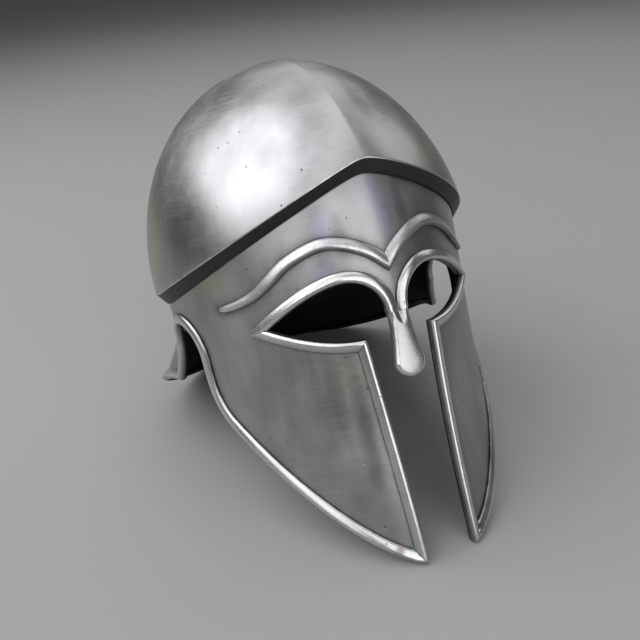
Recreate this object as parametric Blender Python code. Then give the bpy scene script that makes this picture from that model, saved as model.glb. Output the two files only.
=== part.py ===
"""Italo-Corinthian helmet of burnished sheet steel, as it rests on its cheek tips and neck guard.

A domed skull bowl sits with its turned-in edge on a face shell, whose eyes, slot and ear notches
are cut out. Beads of folded strip close the sheet's edges, and the nose guard is one with the
beads over the eyes.

Everything is shaped in the wearing frame: +X is the wearer's left, -Y the front, +Z up, and the
origin is in the middle of the skull at its widest level. The last step pitches the whole helmet
back, so that it stands on the floor at z = 0 as it would by itself.
"""
import math

import bmesh
import bpy
import numpy as np

# Sheet and fits
SHEET = 0.0016
SEAT_GAP = 0.0003

# Skull bowl: half of a superellipsoid, a little pointed in front, leaning back to its top
BOWL_HALF_WIDTH = 0.108
BOWL_FRONT = 0.138
BOWL_BACK = 0.133
BOWL_HEIGHT = 0.131
BOWL_LEAN = 0.009
FRONT_POWER = 1.8
BACK_POWER = 2.05

# Keel over the front of the crown: a low ridge on the middle line that fades out all round
KEEL_PROUD = 0.0011
KEEL_WIDTH = 0.011
KEEL_LOW = 0.050
KEEL_FULL = 0.100
KEEL_BACK = 0.040
KEEL_FADE = 0.060

# Step where the bowl turns in to the face shell
STEP_PEAK = 0.0555
STEP_SIDE_SLOPE = 0.36
STEP_BACK_SLOPE = 0.177
STEP_PEAK_RADIUS = 0.006
STEP_BACK_DEPTH = 0.008
STEP_BACK_POWER = 5
STEP_DROP = 0.009
STEP_EDGE = 0.0026
STEP_INNER_LIFT = 0.0005
LAP = 0.002
LAP_CLEARANCE = 0.0025

# Face shell: how far it lies inside the bowl's own sizes, and how far down the cheeks reach
CHEEK_DROP = 0.178
SHELL_INSET = 0.006
NAPE_INSET = 0.021
NAPE_TOP = 0.010
NAPE_BOTTOM = 0.062
FLARE_TOP = 0.032
FLARE_OUT = 0.034
FLARE_POWER = 1.2
FLARE_START = -0.002
FLARE_BLEND = 0.060

# Rows of the face shell's upright profile. Depth is a share of CHEEK_DROP below the widest level,
# width a share of the shell's half width there, and front a share of BOWL_FRONT.
PROFILE = np.array([
    # depth, width, front
    (-0.35, 1.000, 0.793),
    (-0.21, 1.006, 0.849),
    (0.16, 0.984, 0.907),
    (0.58, 0.974, 0.940),
    (1.00, 0.990, 0.997),
])

PROFILE_END = 1.05

# Eye openings, measured at the sheet's edge from the widest level down
EYE_CORNER_DEPTH = 0.0287
EYE_CORNER_X = 0.0683
EYE_ARCH_X = 0.0265
EYE_ARCH_RISE = 0.0217
EYE_ARCH_POWER = 1.8
EYE_LOWER_DROP = 0.0148
EYE_INNER_X = 0.022

# Slot between the cheeks
SLOT_HALF_WIDTH = 0.017
SLOT_POWER = 1.75

# Jaw edge and ear notch, as seen from the side
JAW_START_BACK = 0.0032
JAW_START_RISE = 0.0023
JAW_END_DEPTH = 0.0762
JAW_HOLLOW = 0.003
JAW_CORNER_RUN = 0.021
EAR_Y = -0.011
EAR_RADIUS = 0.023
EAR_TOP_DEPTH = 0.022
EAR_REAR_LEAN = 0.009

# Neck guard's lower edge. Its foot is the stretch that touches the floor.
GUARD_CORNER_DEPTH = 0.0656
GUARD_BACK_DEPTH = 0.084
GUARD_FOOT_HALF = 0.045
GUARD_FOOT_LIMIT = 0.9

# Bead round the sheet's edges: how far it covers the sheet, reaches past its edge, stands proud
RIM_COVER = 0.005
RIM_LIP = 0.002
RIM_PROUD = 0.003
RIM_BACK = 0.0013
RIM_CLEARANCE = 0.0005

# Brow ridges
BROW_SPAN = 0.084
BROW_LOW_DEPTH = 0.0135
BROW_RISE = 0.0282
BROW_WIDTH = 0.0078
BROW_PROUD = 0.003
BROW_ROOT = 0.0008
BROW_LEAN = 0.4
# BROW_LEAN moves the crest down by that share of the half width. Rows from the outer end to the
# middle: x is a share of BROW_SPAN, rise of BROW_RISE, and size of BROW_WIDTH and BROW_PROUD
BROW = np.array([
    # x, rise, size
    (1.000, 0.00, 0.30),
    (0.975, 0.00, 0.55),
    (0.905, 0.07, 0.70),
    (0.810, 0.23, 0.85),
    (0.714, 0.49, 1.00),
    (0.619, 0.74, 1.00),
    (0.500, 0.92, 1.00),
    (0.380, 1.00, 1.00),
    (0.262, 0.93, 1.00),
    (0.167, 0.80, 1.00),
    (0.083, 0.64, 1.00),
    (0.000, 0.41, 1.00),
])

# Nose guard
NASAL_BULB_RADIUS = 0.0095
NASAL_BULB_DEPTH = 0.059
NASAL_WAIST = 0.0059
NASAL_WAIST_DEPTH = 0.036
NASAL_WAIST_POWER = 1.8
NASAL_PROUD = 0.0028
NASAL_TIP_FORWARD = 0.0035
NASAL_THICKNESS = 0.0055
NASAL_CHAMFER = 0.0018
NASAL_END = 0.995

# How far past the sheet's corner the cheek tips are rounded off
TIP_NOSE = 0.0028

TIP_SEARCH_TOP = 0.8 * CHEEK_DROP

# Worn flats where the helmet touches the floor
WEAR = 0.0008

# How far the uncut shell and the cutters run past what they make
BLANK_DROP = 1.04 * CHEEK_DROP
SLOT_CUT_DROP = 1.1 * CHEEK_DROP
CUTTER_DROP = 1.5 * CHEEK_DROP
CUTTER_REACH = 2.0 * BOWL_FRONT
CUTTER_AHEAD = 0.023

# How finely the round forms are divided
COLUMNS = 64
BOWL_ROWS = 10
SHELL_ROWS = 9
SOLVER_STEPS = 40
EYE_SAMPLES = 12
SLOT_SAMPLES = 8
JAW_SAMPLES = 13
EAR_SAMPLES = 11
JAW_CROWDING = 1.3
COLUMN_CLEARANCE = 0.1

UP = (0.0, 0.0, 1.0)
DOWN = (0.0, 0.0, -1.0)
TO_SLOT = (-1.0, 0.0, 0.0)
MITRE_RUN_ON = 3 * RIM_LIP
MITRE_REACH = 6.0 * RIM_COVER
MERGE = 1e-6
SHARP_ANGLE = 40.0

STEEL = (0.42, 0.42, 0.43, 1.0)
BRIGHT_STEEL = (0.62, 0.62, 0.63, 1.0)


def smooth(t):
    """A share that eases from 0 to 1: 3t^2 - 2t^3."""
    t = np.clip(t, 0.0, 1.0)
    return t * t * (3.0 - 2.0 * t)


def unit(v):
    """Vectors scaled to length 1, along the last axis."""
    v = np.asarray(v, dtype=float)
    return v / np.linalg.norm(v, axis=-1, keepdims=True)


def signed_power(v, power):
    """|v| raised to 2/power, with v's sign: one coordinate of a superellipse."""
    return np.sign(v) * np.abs(v) ** (2.0 / power)


def around(theta):
    """Unit superellipse in plan: theta is 0 in front and pi behind, positive to the wearer's left."""
    power = np.where(np.abs(theta) <= math.pi / 2, FRONT_POWER, BACK_POWER)
    return signed_power(np.sin(theta), power), -signed_power(np.cos(theta), power)


def bowl_point(theta, z, inset=0.0):
    """The bowl's surface at a turn and a height: a superellipse that shrinks as an ellipse does."""
    across, along = around(theta)
    height = BOWL_HEIGHT - inset
    share = np.clip(z / height, 0.0, 1.0)
    shrink = np.sqrt(1.0 - share ** 2)
    depth = np.where(along < 0, BOWL_FRONT, BOWL_BACK) - inset
    x = (BOWL_HALF_WIDTH - inset) * across * shrink
    y = BOWL_LEAN * share + depth * along * shrink
    point = np.stack([x, y, z + 0.0 * x], axis=-1)
    keel = KEEL_PROUD * np.exp(-np.abs(x) / KEEL_WIDTH) * smooth((KEEL_BACK - y) / KEEL_FADE)
    keel = keel * smooth((z - KEEL_LOW) / (KEEL_FULL - KEEL_LOW))
    outward = unit(point / np.array([BOWL_HALF_WIDTH, BOWL_FRONT, BOWL_HEIGHT]) ** 2)
    return point + keel[..., None] * outward


def profile(column, z):
    """The upright profile table, read as the one smooth curve through all its rows."""
    curve = np.polyfit(PROFILE[:, 0], PROFILE[:, column], len(PROFILE) - 1)
    return np.polyval(curve, np.clip(-z / CHEEK_DROP, PROFILE[0, 0], PROFILE_END))


def shell_point(theta, z, inset=0.0):
    """The face shell's outer surface, or one that lies inset inside it."""
    across, along = around(theta)
    half = (BOWL_HALF_WIDTH - SHELL_INSET) * profile(1, z) - inset
    front = BOWL_FRONT * profile(2, z) - inset
    nape = smooth((-z - NAPE_TOP) / (NAPE_BOTTOM - NAPE_TOP))
    back = BOWL_BACK - SHELL_INSET - (NAPE_INSET - SHELL_INSET) * nape - inset
    x = half * across
    y = np.where(along < 0, front, back) * along
    fall = np.clip((-z - FLARE_TOP) / (GUARD_BACK_DEPTH - FLARE_TOP), 0.0, None) ** FLARE_POWER
    flare = FLARE_OUT * fall * smooth((y - FLARE_START) / FLARE_BLEND)
    stretch = 1.0 + flare / np.maximum(np.hypot(x, y), SHEET)
    return np.stack([x * stretch, y * stretch, z + 0.0 * x], axis=-1)


def shell_normal(theta, z):
    """Outward direction of the face shell, from its slopes round it and up it."""
    step = 1e-4
    round_it = shell_point(theta + step, z) - shell_point(theta - step, z)
    up_it = shell_point(theta, z + step) - shell_point(theta, z - step)
    return unit(np.cross(round_it, up_it))


def theta_for_x(x, z):
    """Turn at which the front half of the shell has this x."""
    half = (BOWL_HALF_WIDTH - SHELL_INSET) * profile(1, z)
    return np.arcsin(np.clip(x / half, 0.0, 1.0) ** (FRONT_POWER / 2.0))


def theta_for_y(y, z):
    """Turn at which the shell's left side has this y, by halving."""
    low = np.zeros(np.shape(y + 0.0 * z))
    high = low + math.pi
    for _ in range(SOLVER_STEPS):
        middle = 0.5 * (low + high)
        ahead = shell_point(middle, z)[..., 1] < y
        low = np.where(ahead, middle, low)
        high = np.where(ahead, high, middle)
    return 0.5 * (low + high)


def step_height(theta):
    """Height of the step's upper edge: two planes that meet in a rounded peak, then a level back."""
    turn = np.abs(theta)
    front_turn = np.minimum(turn, math.pi / 2)
    peak_y = float(bowl_point(0.0, STEP_PEAK)[1])
    z = STEP_PEAK + 0.0 * front_turn
    for _ in range(SOLVER_STEPS):
        p = bowl_point(front_turn, z)
        rounded = np.sqrt(p[..., 0] ** 2 + STEP_PEAK_RADIUS ** 2) - STEP_PEAK_RADIUS
        z = STEP_PEAK - STEP_SIDE_SLOPE * rounded - STEP_BACK_SLOPE * (p[..., 1] - peak_y)
    behind = np.clip(turn / (math.pi / 2) - 1.0, 0.0, 1.0)
    return z - (z + STEP_BACK_DEPTH) * (1.0 - (1.0 - behind) ** STEP_BACK_POWER)


def eye_arch(count):
    """Sheet's edge over the eye in front view, from the outer corner to beside the nose."""
    out = np.linspace(1.0, 0.0, count)
    outer_x = EYE_ARCH_X + (EYE_CORNER_X - EYE_ARCH_X) * out
    outer_z = EYE_ARCH_RISE * (1.0 - out ** EYE_ARCH_POWER)
    turn = np.linspace(0.0, math.pi / 2, count // 2 + 1)[1:]
    inner_x = EYE_ARCH_X - EYE_ARCH_RISE * np.sin(turn)
    inner_z = EYE_ARCH_RISE * np.cos(turn)
    x = np.concatenate([outer_x, inner_x])
    z = np.concatenate([outer_z, inner_z]) - EYE_CORNER_DEPTH
    return x, z


def eye_lower(count):
    """Sheet's edge under the eye in front view, from the inner corner to the outer one."""
    out = np.linspace(0.0, 1.0, count)
    x = EYE_INNER_X + (EYE_CORNER_X - EYE_INNER_X) * out
    return x, -EYE_CORNER_DEPTH - EYE_LOWER_DROP * (1.0 - out ** 2)


def slot_half(z):
    """Half width of the slot between the cheeks: it opens a little towards the eyes."""
    top = -EYE_CORNER_DEPTH - EYE_LOWER_DROP
    up = np.clip((z + CHEEK_DROP) / (top + CHEEK_DROP), 0.0, 1.0)
    return SLOT_HALF_WIDTH + (EYE_INNER_X - SLOT_HALF_WIDTH) * up ** SLOT_POWER


def jaw_line(count):
    """Jaw edge in side view: a chord with a slight hollow, then a round corner to the ear notch."""
    foremost = float(shell_point(0.0, -CHEEK_DROP)[1])
    start = np.array([foremost + JAW_START_BACK, JAW_START_RISE - CHEEK_DROP])
    corner = np.array([EAR_Y - EAR_RADIUS, -JAW_END_DEPTH])
    chord = corner - start
    rise = unit(np.array([-chord[1], chord[0]]))
    share = np.linspace(0.0, 1.0, 4 * count)[:, None] ** JAW_CROWDING
    line = start + chord * share + 4.0 * JAW_HOLLOW * share * (1.0 - share) * rise
    # The last stretch is swung into the upright edge of the notch with a quadratic curve
    kept = line[np.linalg.norm(line - corner, axis=1) > JAW_CORNER_RUN]
    picks = np.linspace(0, len(kept) - 1, count).round().astype(int)
    kept = kept[picks]
    bend = np.linspace(0.0, 1.0, 5)[1:, None]
    end = corner + np.array([0.0, JAW_CORNER_RUN])
    curve = (1 - bend) ** 2 * kept[-1] + 2 * bend * (1 - bend) * corner + bend ** 2 * end
    return np.concatenate([kept, curve])


def ear_line(count):
    """Ear notch in side view, from the front upright over the arch to the guard's corner."""
    centre_z = -EAR_TOP_DEPTH - EAR_RADIUS
    turn = np.linspace(math.pi, 0.0, count)
    arch = np.stack([EAR_Y + EAR_RADIUS * np.cos(turn), centre_z + EAR_RADIUS * np.sin(turn)], axis=1)
    down = np.linspace(0.0, 1.0, 5)[1:, None]
    foot = np.array([EAR_Y + EAR_RADIUS + EAR_REAR_LEAN, -GUARD_CORNER_DEPTH])
    return np.concatenate([arch, arch[-1] + (foot - arch[-1]) * down])


def floor_slope():
    """Rise of the floor line from the cheek tips back to the neck guard, in the wearing frame."""
    front = float(shell_point(0.0, -CHEEK_DROP)[1])
    back = float(shell_point(math.pi, -GUARD_BACK_DEPTH)[1])
    return (CHEEK_DROP - GUARD_BACK_DEPTH) / (back - front)


def guard_height(theta):
    """Neck guard's lower edge: on the floor line behind, then rising to the corner at the ear."""
    slope = floor_slope()
    back_y = float(shell_point(math.pi, -GUARD_BACK_DEPTH)[1])
    reach = min(GUARD_FOOT_HALF / (BOWL_HALF_WIDTH - NAPE_INSET + FLARE_OUT), GUARD_FOOT_LIMIT)
    foot_y = back_y * (1.0 - reach ** BACK_POWER) ** (1.0 / BACK_POWER)
    corner_y = EAR_Y + EAR_RADIUS + EAR_REAR_LEAN
    foot_z = -GUARD_BACK_DEPTH - slope * (back_y - foot_y)
    z = -GUARD_BACK_DEPTH + 0.0 * theta
    for _ in range(SOLVER_STEPS):
        y = shell_point(theta, z)[..., 1]
        on_floor = -GUARD_BACK_DEPTH - slope * (back_y - y)
        share = np.clip((foot_y - y) / (foot_y - corner_y), 0.0, None)
        rising = foot_z - (foot_z + GUARD_CORNER_DEPTH) * smooth(share)
        z = np.where(y > foot_y, on_floor, rising)
    return z


def clear_scene():
    for item in list(bpy.data.objects):
        bpy.data.objects.remove(item, do_unlink=True)


def steel(name, colour, roughness):
    material = bpy.data.materials.new(name)
    material.use_nodes = True
    shader = material.node_tree.nodes["Principled BSDF"]
    shader.inputs["Base Color"].default_value = colour
    shader.inputs["Metallic"].default_value = 1.0
    shader.inputs["Roughness"].default_value = roughness
    return material


def add_object(name, vertices, faces, material, cuts=()):
    """A mesh object from points and faces, with its faces turned outwards.

    Each cut is a point and a direction: what lies near the point and behind it, against the
    direction, is sliced off flat.
    """
    mesh = bpy.data.meshes.new(name)
    mesh.from_pydata([tuple(v) for v in vertices], [], faces)
    work = bmesh.new()
    work.from_mesh(mesh)
    bmesh.ops.remove_doubles(work, verts=work.verts, dist=MERGE)
    for point, direction in cuts:
        near = {v for v in work.verts if np.linalg.norm(np.array(v.co) - point) < MITRE_REACH}
        edges_near = [e for e in work.edges if near.issuperset(e.verts)]
        faces_near = [f for f in work.faces if near.issuperset(f.verts)]
        sliced = bmesh.ops.bisect_plane(
            work, geom=list(near) + edges_near + faces_near, dist=MERGE,
            plane_co=point, plane_no=-direction, clear_outer=True)
        rim = [item for item in sliced["geom_cut"] if isinstance(item, bmesh.types.BMEdge)]
        bmesh.ops.edgeloop_fill(work, edges=rim)
    bmesh.ops.recalc_face_normals(work, faces=work.faces)
    work.to_mesh(mesh)
    work.free()
    mesh.shade_smooth()
    mesh.set_sharp_from_angle(angle=math.radians(SHARP_ANGLE))
    item = bpy.data.objects.new(name, mesh)
    bpy.context.collection.objects.link(item)
    if material:
        mesh.materials.append(material)
    return item


def boolean(item, operation, other):
    """Cut the other shape from the item or join it on, and leave the other as a hidden guide."""
    change = item.modifiers.new(other.name, "BOOLEAN")
    change.operation = operation
    change.solver = "EXACT"
    change.object = other
    other.hide_render = True
    other.display_type = "WIRE"


def ring_faces(rings, columns, first=0):
    """Quads between closed rings of points, each ring after the one before."""
    faces = []
    for r in range(rings - 1):
        for c in range(columns):
            n = (c + 1) % columns
            a, b = first + r * columns, first + (r + 1) * columns
            faces.append((a + c, a + n, b + n, b + c))
    return faces


def columns_of_theta():
    return np.linspace(-math.pi, math.pi, COLUMNS, endpoint=False)


def make_skull_bowl(material):
    """Dome, turned-in step and the same wall inside, as rings from the outer top to the inner top."""
    theta = columns_of_theta()
    upper = step_height(theta)
    lower = upper - STEP_DROP
    rings = []
    shares = np.sin(np.linspace(1.0, 0.0, BOWL_ROWS + 1)[1:] * math.pi / 2)
    for share in shares:
        rings.append(bowl_point(theta, upper + (BOWL_HEIGHT - upper) * share))
    rings.append(shell_point(theta, lower, -SEAT_GAP))
    rings.append(shell_point(theta, lower + STEP_EDGE, -SEAT_GAP))
    start = upper + STEP_INNER_LIFT
    top = BOWL_HEIGHT - SHEET
    for share in shares[::-1]:
        rings.append(bowl_point(theta, start + (top - start) * share, SHEET))
    count = len(rings)
    outer_top = bowl_point(0.0, BOWL_HEIGHT)
    inner_top = bowl_point(0.0, BOWL_HEIGHT - SHEET, SHEET)
    points = np.concatenate(rings + [outer_top[None], inner_top[None]])
    faces = ring_faces(count, COLUMNS)
    last = (count - 1) * COLUMNS
    for c in range(COLUMNS):
        n = (c + 1) % COLUMNS
        faces.append((count * COLUMNS, n, c))
        faces.append((count * COLUMNS + 1, last + c, last + n))
    return add_object("skull_bowl", points, faces, material)


def make_shell_blank(material):
    """The face shell before its openings are cut: rings up its outside and down its inside."""
    theta = columns_of_theta()
    upper = step_height(theta)
    # The lower edge jumps from cheek to guard in the middle of the ear notch, which is cut away
    ear = theta_for_y(np.array(EAR_Y), np.array(-GUARD_CORNER_DEPTH))
    bottom = np.where(np.abs(theta) > ear, guard_height(np.abs(theta)), -BLANK_DROP)
    top = upper - STEP_DROP + STEP_EDGE
    lap_top = upper + LAP
    outer, inner = [], []
    for share in np.linspace(0.0, 1.0, SHELL_ROWS + 1):
        z = bottom + (top - bottom) * share
        outer.append(shell_point(theta, z))
        inner.append(shell_point(theta, z, SHEET))
    inset = SHEET + LAP_CLEARANCE
    outer.append(bowl_point(theta, lap_top, inset))
    inner.append(bowl_point(theta, lap_top, inset + SHEET))
    rings = outer + inner[::-1]
    faces = ring_faces(len(rings), COLUMNS)
    last = (len(rings) - 1) * COLUMNS
    for c in range(COLUMNS):
        n = (c + 1) % COLUMNS
        faces.append((last + c, last + n, n, c))
    return add_object("face_shell", np.concatenate(rings), faces, material)


def make_prism(name, outline, axis, low, high):
    """A closed outline of (across, z) pairs, carried from low to high along axis 0 (X) or 1 (Y)."""
    count = len(outline)
    points = []
    for place in (low, high):
        for across, z in outline:
            points.append((place, across, z) if axis == 0 else (across, place, z))
    faces = [tuple(range(count)), tuple(range(count, 2 * count))[::-1]]
    for i in range(count):
        n = (i + 1) % count
        faces.append((i, n, count + n, count + i))
    return add_object(name, points, faces, None)


def face_outline():
    """Front view of what is cut from the face: both eyes and the slot under the nose."""
    arch = np.stack(eye_arch(EYE_SAMPLES), axis=1)[::-1]
    lower = np.stack(eye_lower(EYE_SAMPLES), axis=1)[::-1]
    z = np.linspace(lower[-1, 1], -SLOT_CUT_DROP, SLOT_SAMPLES)[1:]
    slot = np.stack([slot_half(z), z], axis=1)
    left = np.concatenate([arch, lower[1:], slot])
    right = left[::-1] * np.array([-1.0, 1.0])
    return np.concatenate([left, right])


def side_outline():
    """Side view of what is cut below the jaw and at the ear."""
    edge = np.concatenate([jaw_line(JAW_SAMPLES), ear_line(EAR_SAMPLES)])
    ahead = edge[0] - CUTTER_AHEAD * unit(edge[1] - edge[0])
    return np.concatenate([[ahead], edge, [(edge[-1, 0], -CUTTER_DROP), (ahead[0], -CUTTER_DROP)]])


def strip_section():
    """Folded strip round a sheet's edge: (out past the edge, up from the outer face) pairs."""
    back = -SHEET - RIM_CLEARANCE
    return np.array([
        (-RIM_COVER, RIM_CLEARANCE),
        (-0.90 * RIM_COVER, 0.45 * RIM_PROUD),
        (-0.50 * RIM_COVER, 0.84 * RIM_PROUD),
        (-0.05 * RIM_COVER, RIM_PROUD),
        (0.60 * RIM_LIP, 0.75 * RIM_PROUD),
        (RIM_LIP, -0.3 * SHEET),
        (0.60 * RIM_LIP, back - RIM_BACK),
        (-0.60 * RIM_COVER, back - 0.7 * RIM_BACK),
        (-0.60 * RIM_COVER, back),
        (RIM_CLEARANCE, back),
        (RIM_CLEARANCE, RIM_CLEARANCE),
    ])


def tangents(points):
    return unit(np.gradient(points, axis=0))


def end_tangent(points, start):
    """Direction of travel at a path's first point, or at its last."""
    return unit(points[1] - points[0]) if start else unit(points[-1] - points[-2])


def edge_path(theta, z):
    """A path on the shell's outer face with its outward normals."""
    return shell_point(theta, z), shell_normal(theta, z)


def sweep_strip(path, normals, opening, start_plane, end_plane):
    """Carry the strip's section along a sheet edge: its rings, and the cuts that mitre its ends.

    opening is the direction from the path's first point into the opening. A plane is its normal,
    or None for an end that isn't mitred. A mitred end runs on past its corner before it is cut.
    """
    section = strip_section()
    cuts = []
    for place, plane in ((0, start_plane), (-1, end_plane)):
        if plane is None:
            continue
        inward = end_tangent(path, True) if place == 0 else -end_tangent(path, False)
        direction = plane * np.sign(plane @ inward)
        cuts.append((path[place] + 0.5 * SEAT_GAP * direction, direction))
        run_on = (path[place] - MITRE_RUN_ON * inward)[None]
        if place == 0:
            path = np.concatenate([run_on, path])
            normals = np.concatenate([normals[:1], normals])
        else:
            path = np.concatenate([path, run_on])
            normals = np.concatenate([normals, normals[-1:]])
    along = tangents(path)
    out = unit(np.cross(along, normals))
    out = out * np.sign(out[0] @ np.array(opening))
    up = unit(normals - np.sum(normals * along, axis=1, keepdims=True) * along)
    rings = path[:, None] + out[:, None] * section[None, :, :1] + up[:, None] * section[None, :, 1:]
    return rings, cuts


def mirrored_cuts(cuts):
    return [(mirrored(point), mirrored(direction)) for point, direction in cuts]


def loft(rings):
    """Points and faces of a solid through closed rings, with both ends capped."""
    count, width = len(rings), len(rings[0])
    faces = ring_faces(count, width)
    faces.append(tuple(range(width))[::-1])
    faces.append(tuple(range((count - 1) * width, count * width)))
    return np.concatenate(rings), faces


def edges():
    """Sheet edges of the helmet's left half as turn and height, and the points where they meet."""
    arch_x, arch_z = eye_arch(EYE_SAMPLES)
    lower_x, lower_z = eye_lower(EYE_SAMPLES)
    side = np.concatenate([jaw_line(JAW_SAMPLES), ear_line(EAR_SAMPLES)])
    return (arch_x, arch_z), (lower_x, lower_z), side


def mirrored(points):
    return points * np.array([-1.0, 1.0, 1.0])


def tip_height(side):
    """Height at which the slot's edge meets the jaw edge, by halving."""
    low, high = -BLANK_DROP, -TIP_SEARCH_TOP
    for _ in range(SOLVER_STEPS):
        z = 0.5 * (low + high)
        y = float(shell_point(theta_for_x(slot_half(z), z), z)[1])
        if z < np.interp(y, side[:JAW_SAMPLES, 0], side[:JAW_SAMPLES, 1]):
            low = z
        else:
            high = z
    return z


def make_rims(material):
    """All folded strips, shaped on the left half and mirrored to the right."""
    (arch_x, arch_z), (lower_x, lower_z), side = edges()

    arch, arch_n = edge_path(theta_for_x(arch_x, arch_z), arch_z)
    lower, lower_n = edge_path(theta_for_x(lower_x, lower_z), lower_z)
    tip_z = tip_height(side)
    slot_z = np.linspace(tip_z, lower_z[0], SLOT_SAMPLES)
    front, front_n = edge_path(theta_for_x(slot_half(slot_z), slot_z), slot_z)

    inside = side[side[:, 1] > tip_z + SHEET]
    side_theta = theta_for_y(inside[:, 0], inside[:, 1])
    corner_theta = float(side_theta[-1])
    for _ in range(SOLVER_STEPS):
        corner_z = guard_height(np.array(corner_theta))
        corner_theta = float(theta_for_y(inside[-1, 0], corner_z))
    side_theta[-1] = corner_theta
    side_z = inside[:, 1].copy()
    side_z[-1] = corner_z
    jaw, jaw_n = edge_path(side_theta, side_z)
    jaw = np.concatenate([front[:1], jaw])
    jaw_n = np.concatenate([front_n[:1], jaw_n])

    columns = columns_of_theta()
    behind = columns[np.abs(columns) > corner_theta + COLUMN_CLEARANCE * 2 * math.pi / COLUMNS]
    behind = np.sort(np.where(behind < 0, behind + 2 * math.pi, behind))
    neck_theta = np.concatenate([[corner_theta], behind, [2 * math.pi - corner_theta]])
    folded = np.where(neck_theta > math.pi, neck_theta - 2 * math.pi, neck_theta)
    neck, neck_n = edge_path(folded, guard_height(np.abs(folded)))

    eye_outer = unit(end_tangent(lower, False) + end_tangent(arch, True))
    eye_inner = unit(end_tangent(front, False) + end_tangent(lower, True))
    tip = unit(end_tangent(jaw, True) - end_tangent(front, True))
    corner = unit(end_tangent(jaw, False) + end_tangent(neck, True))

    ahead = -unit(end_tangent(jaw, True) + end_tangent(front, True))
    nose = (front[0] + TIP_NOSE * ahead, -ahead)

    strips = {
        "eye_rim": sweep_strip(lower, lower_n, UP, eye_inner, eye_outer),
        "front_rim": sweep_strip(front, front_n, TO_SLOT, tip, eye_inner),
        "lower_rim": sweep_strip(jaw, jaw_n, DOWN, tip, corner),
    }
    made = []
    for name, (rings, cuts) in strips.items():
        points, faces = loft(rings)
        if name != "eye_rim":
            cuts.append(nose)
        made.append(add_object(name + "_left", points, faces, material, cuts))
        made.append(add_object(name + "_right", mirrored(points), faces, material,
                               mirrored_cuts(cuts)))
    neck_rings, cuts = sweep_strip(neck, neck_n, DOWN, corner, mirrored(corner))
    made.append(add_object("neck_rim", *loft(neck_rings), material, cuts))

    arch_rings, cuts = sweep_strip(arch, arch_n, DOWN, eye_outer, None)
    root = arch_rings[-1] - np.array([0.0, 0.0, RIM_LIP])
    arch_rings = np.concatenate([arch_rings, root[None]])
    points, faces = loft(arch_rings)
    nasal = add_object("nasal_guard", points, faces, material, cuts)
    other = add_object("arch_right_guide", mirrored(points), faces, None, mirrored_cuts(cuts))
    boolean(nasal, "UNION", other)
    boolean(nasal, "UNION", make_nasal_plate())
    made.append(nasal)
    return made


def make_nasal_plate():
    """Nose guard under the bridge: sections down its length, chamfered in front."""
    top = -EYE_CORNER_DEPTH - SEAT_GAP
    bulb = -NASAL_BULB_DEPTH
    length = top - bulb
    upper = np.linspace(top, bulb, 7)
    turn = np.linspace(0.0, 0.5 * math.pi, 7)[1:-1]
    low = bulb - NASAL_BULB_RADIUS * np.sin(turn)
    end = bulb - NASAL_END * NASAL_BULB_RADIUS
    z = np.concatenate([upper, low, [end]])
    share = np.clip((z - bulb) / length, 0.0, 1.0)
    waist = NASAL_WAIST + (NASAL_BULB_RADIUS - NASAL_WAIST) * (1.0 - share) ** NASAL_WAIST_POWER
    above = np.clip((z + NASAL_WAIST_DEPTH) / (top + NASAL_WAIST_DEPTH), 0.0, 1.0)
    bridge = EYE_ARCH_X - EYE_ARCH_RISE + RIM_LIP
    waist = waist + (bridge - NASAL_WAIST) * above ** 2
    round_end = np.sqrt(np.clip(NASAL_BULB_RADIUS ** 2 - np.minimum(z - bulb, 0.0) ** 2, 0.0, None))
    half = np.where(z < bulb, round_end, waist)
    start_y = float(shell_point(0.0, top)[1]) - NASAL_PROUD
    front = start_y - NASAL_TIP_FORWARD * np.clip((top - z) / length, 0.0, None)
    chamfer = np.minimum(NASAL_CHAMFER, 0.6 * half)
    rings = []
    for h, f, c, level in zip(half, front, chamfer, z):
        back = f + NASAL_THICKNESS
        rings.append(np.array([
            (-h, back, level), (-h, f + c, level), (-(h - c), f, level),
            (h - c, f, level), (h, f + c, level), (h, back, level),
        ]))
    return add_object("nasal_plate_guide", *loft(rings), None)


def make_brow_ridges():
    """Both brow ridges as one swept bead that comes to a V over the nose."""
    fine = np.linspace(0.0, len(BROW) - 1.0, 2 * len(BROW) - 1)
    table = smooth_rows(BROW, fine)
    x = BROW_SPAN * table[:, 0]
    x[-1] = 0.0
    z = BROW_RISE * table[:, 1] - BROW_LOW_DEPTH
    path, normals = edge_path(theta_for_x(x, z), z)
    along = tangents(path)
    along[0], along[-1] = end_tangent(path, True), end_tangent(path, False)
    out = unit(np.cross(along, normals))
    turn = np.linspace(0.0, math.pi, 7)
    width = 0.5 * BROW_WIDTH * table[:, 2]
    height = BROW_PROUD * table[:, 2]
    arc = np.stack([np.cos(turn), np.sin(turn)], axis=1)
    across = np.concatenate([arc[:, 0] - BROW_LEAN * arc[:, 1], [-1.0, 1.0]])
    above = np.concatenate([arc[:, 1], [0.0, 0.0]])
    root = np.concatenate([0.0 * turn, [-BROW_ROOT, -BROW_ROOT]])
    rings = (path[:, None] + out[:, None] * (width[:, None] * across)[..., None]
             + normals[:, None] * (height[:, None] * above + root)[..., None])
    slide = rings[-1][:, 0] / along[-1][0]
    rings[-1] = rings[-1] - slide[:, None] * along[-1]
    other = mirrored(rings[:-1])[::-1]
    return add_object("brow_guide", *loft(np.concatenate([rings, other])), None)


def smooth_rows(rows, places):
    """Rows of a table read between its lines with Catmull-Rom curves."""
    padded = np.concatenate([2 * rows[:1] - rows[1:2], rows, 2 * rows[-1:] - rows[-2:-1]])
    index = np.minimum(places.astype(int), len(rows) - 2)
    t = (places - index)[:, None]
    a, b, c, d = (padded[index + k] for k in range(4))
    return b + 0.5 * t * (c - a + t * (2 * a - 5 * b + 4 * c - d + t * (3 * (b - c) + d - a)))


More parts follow.
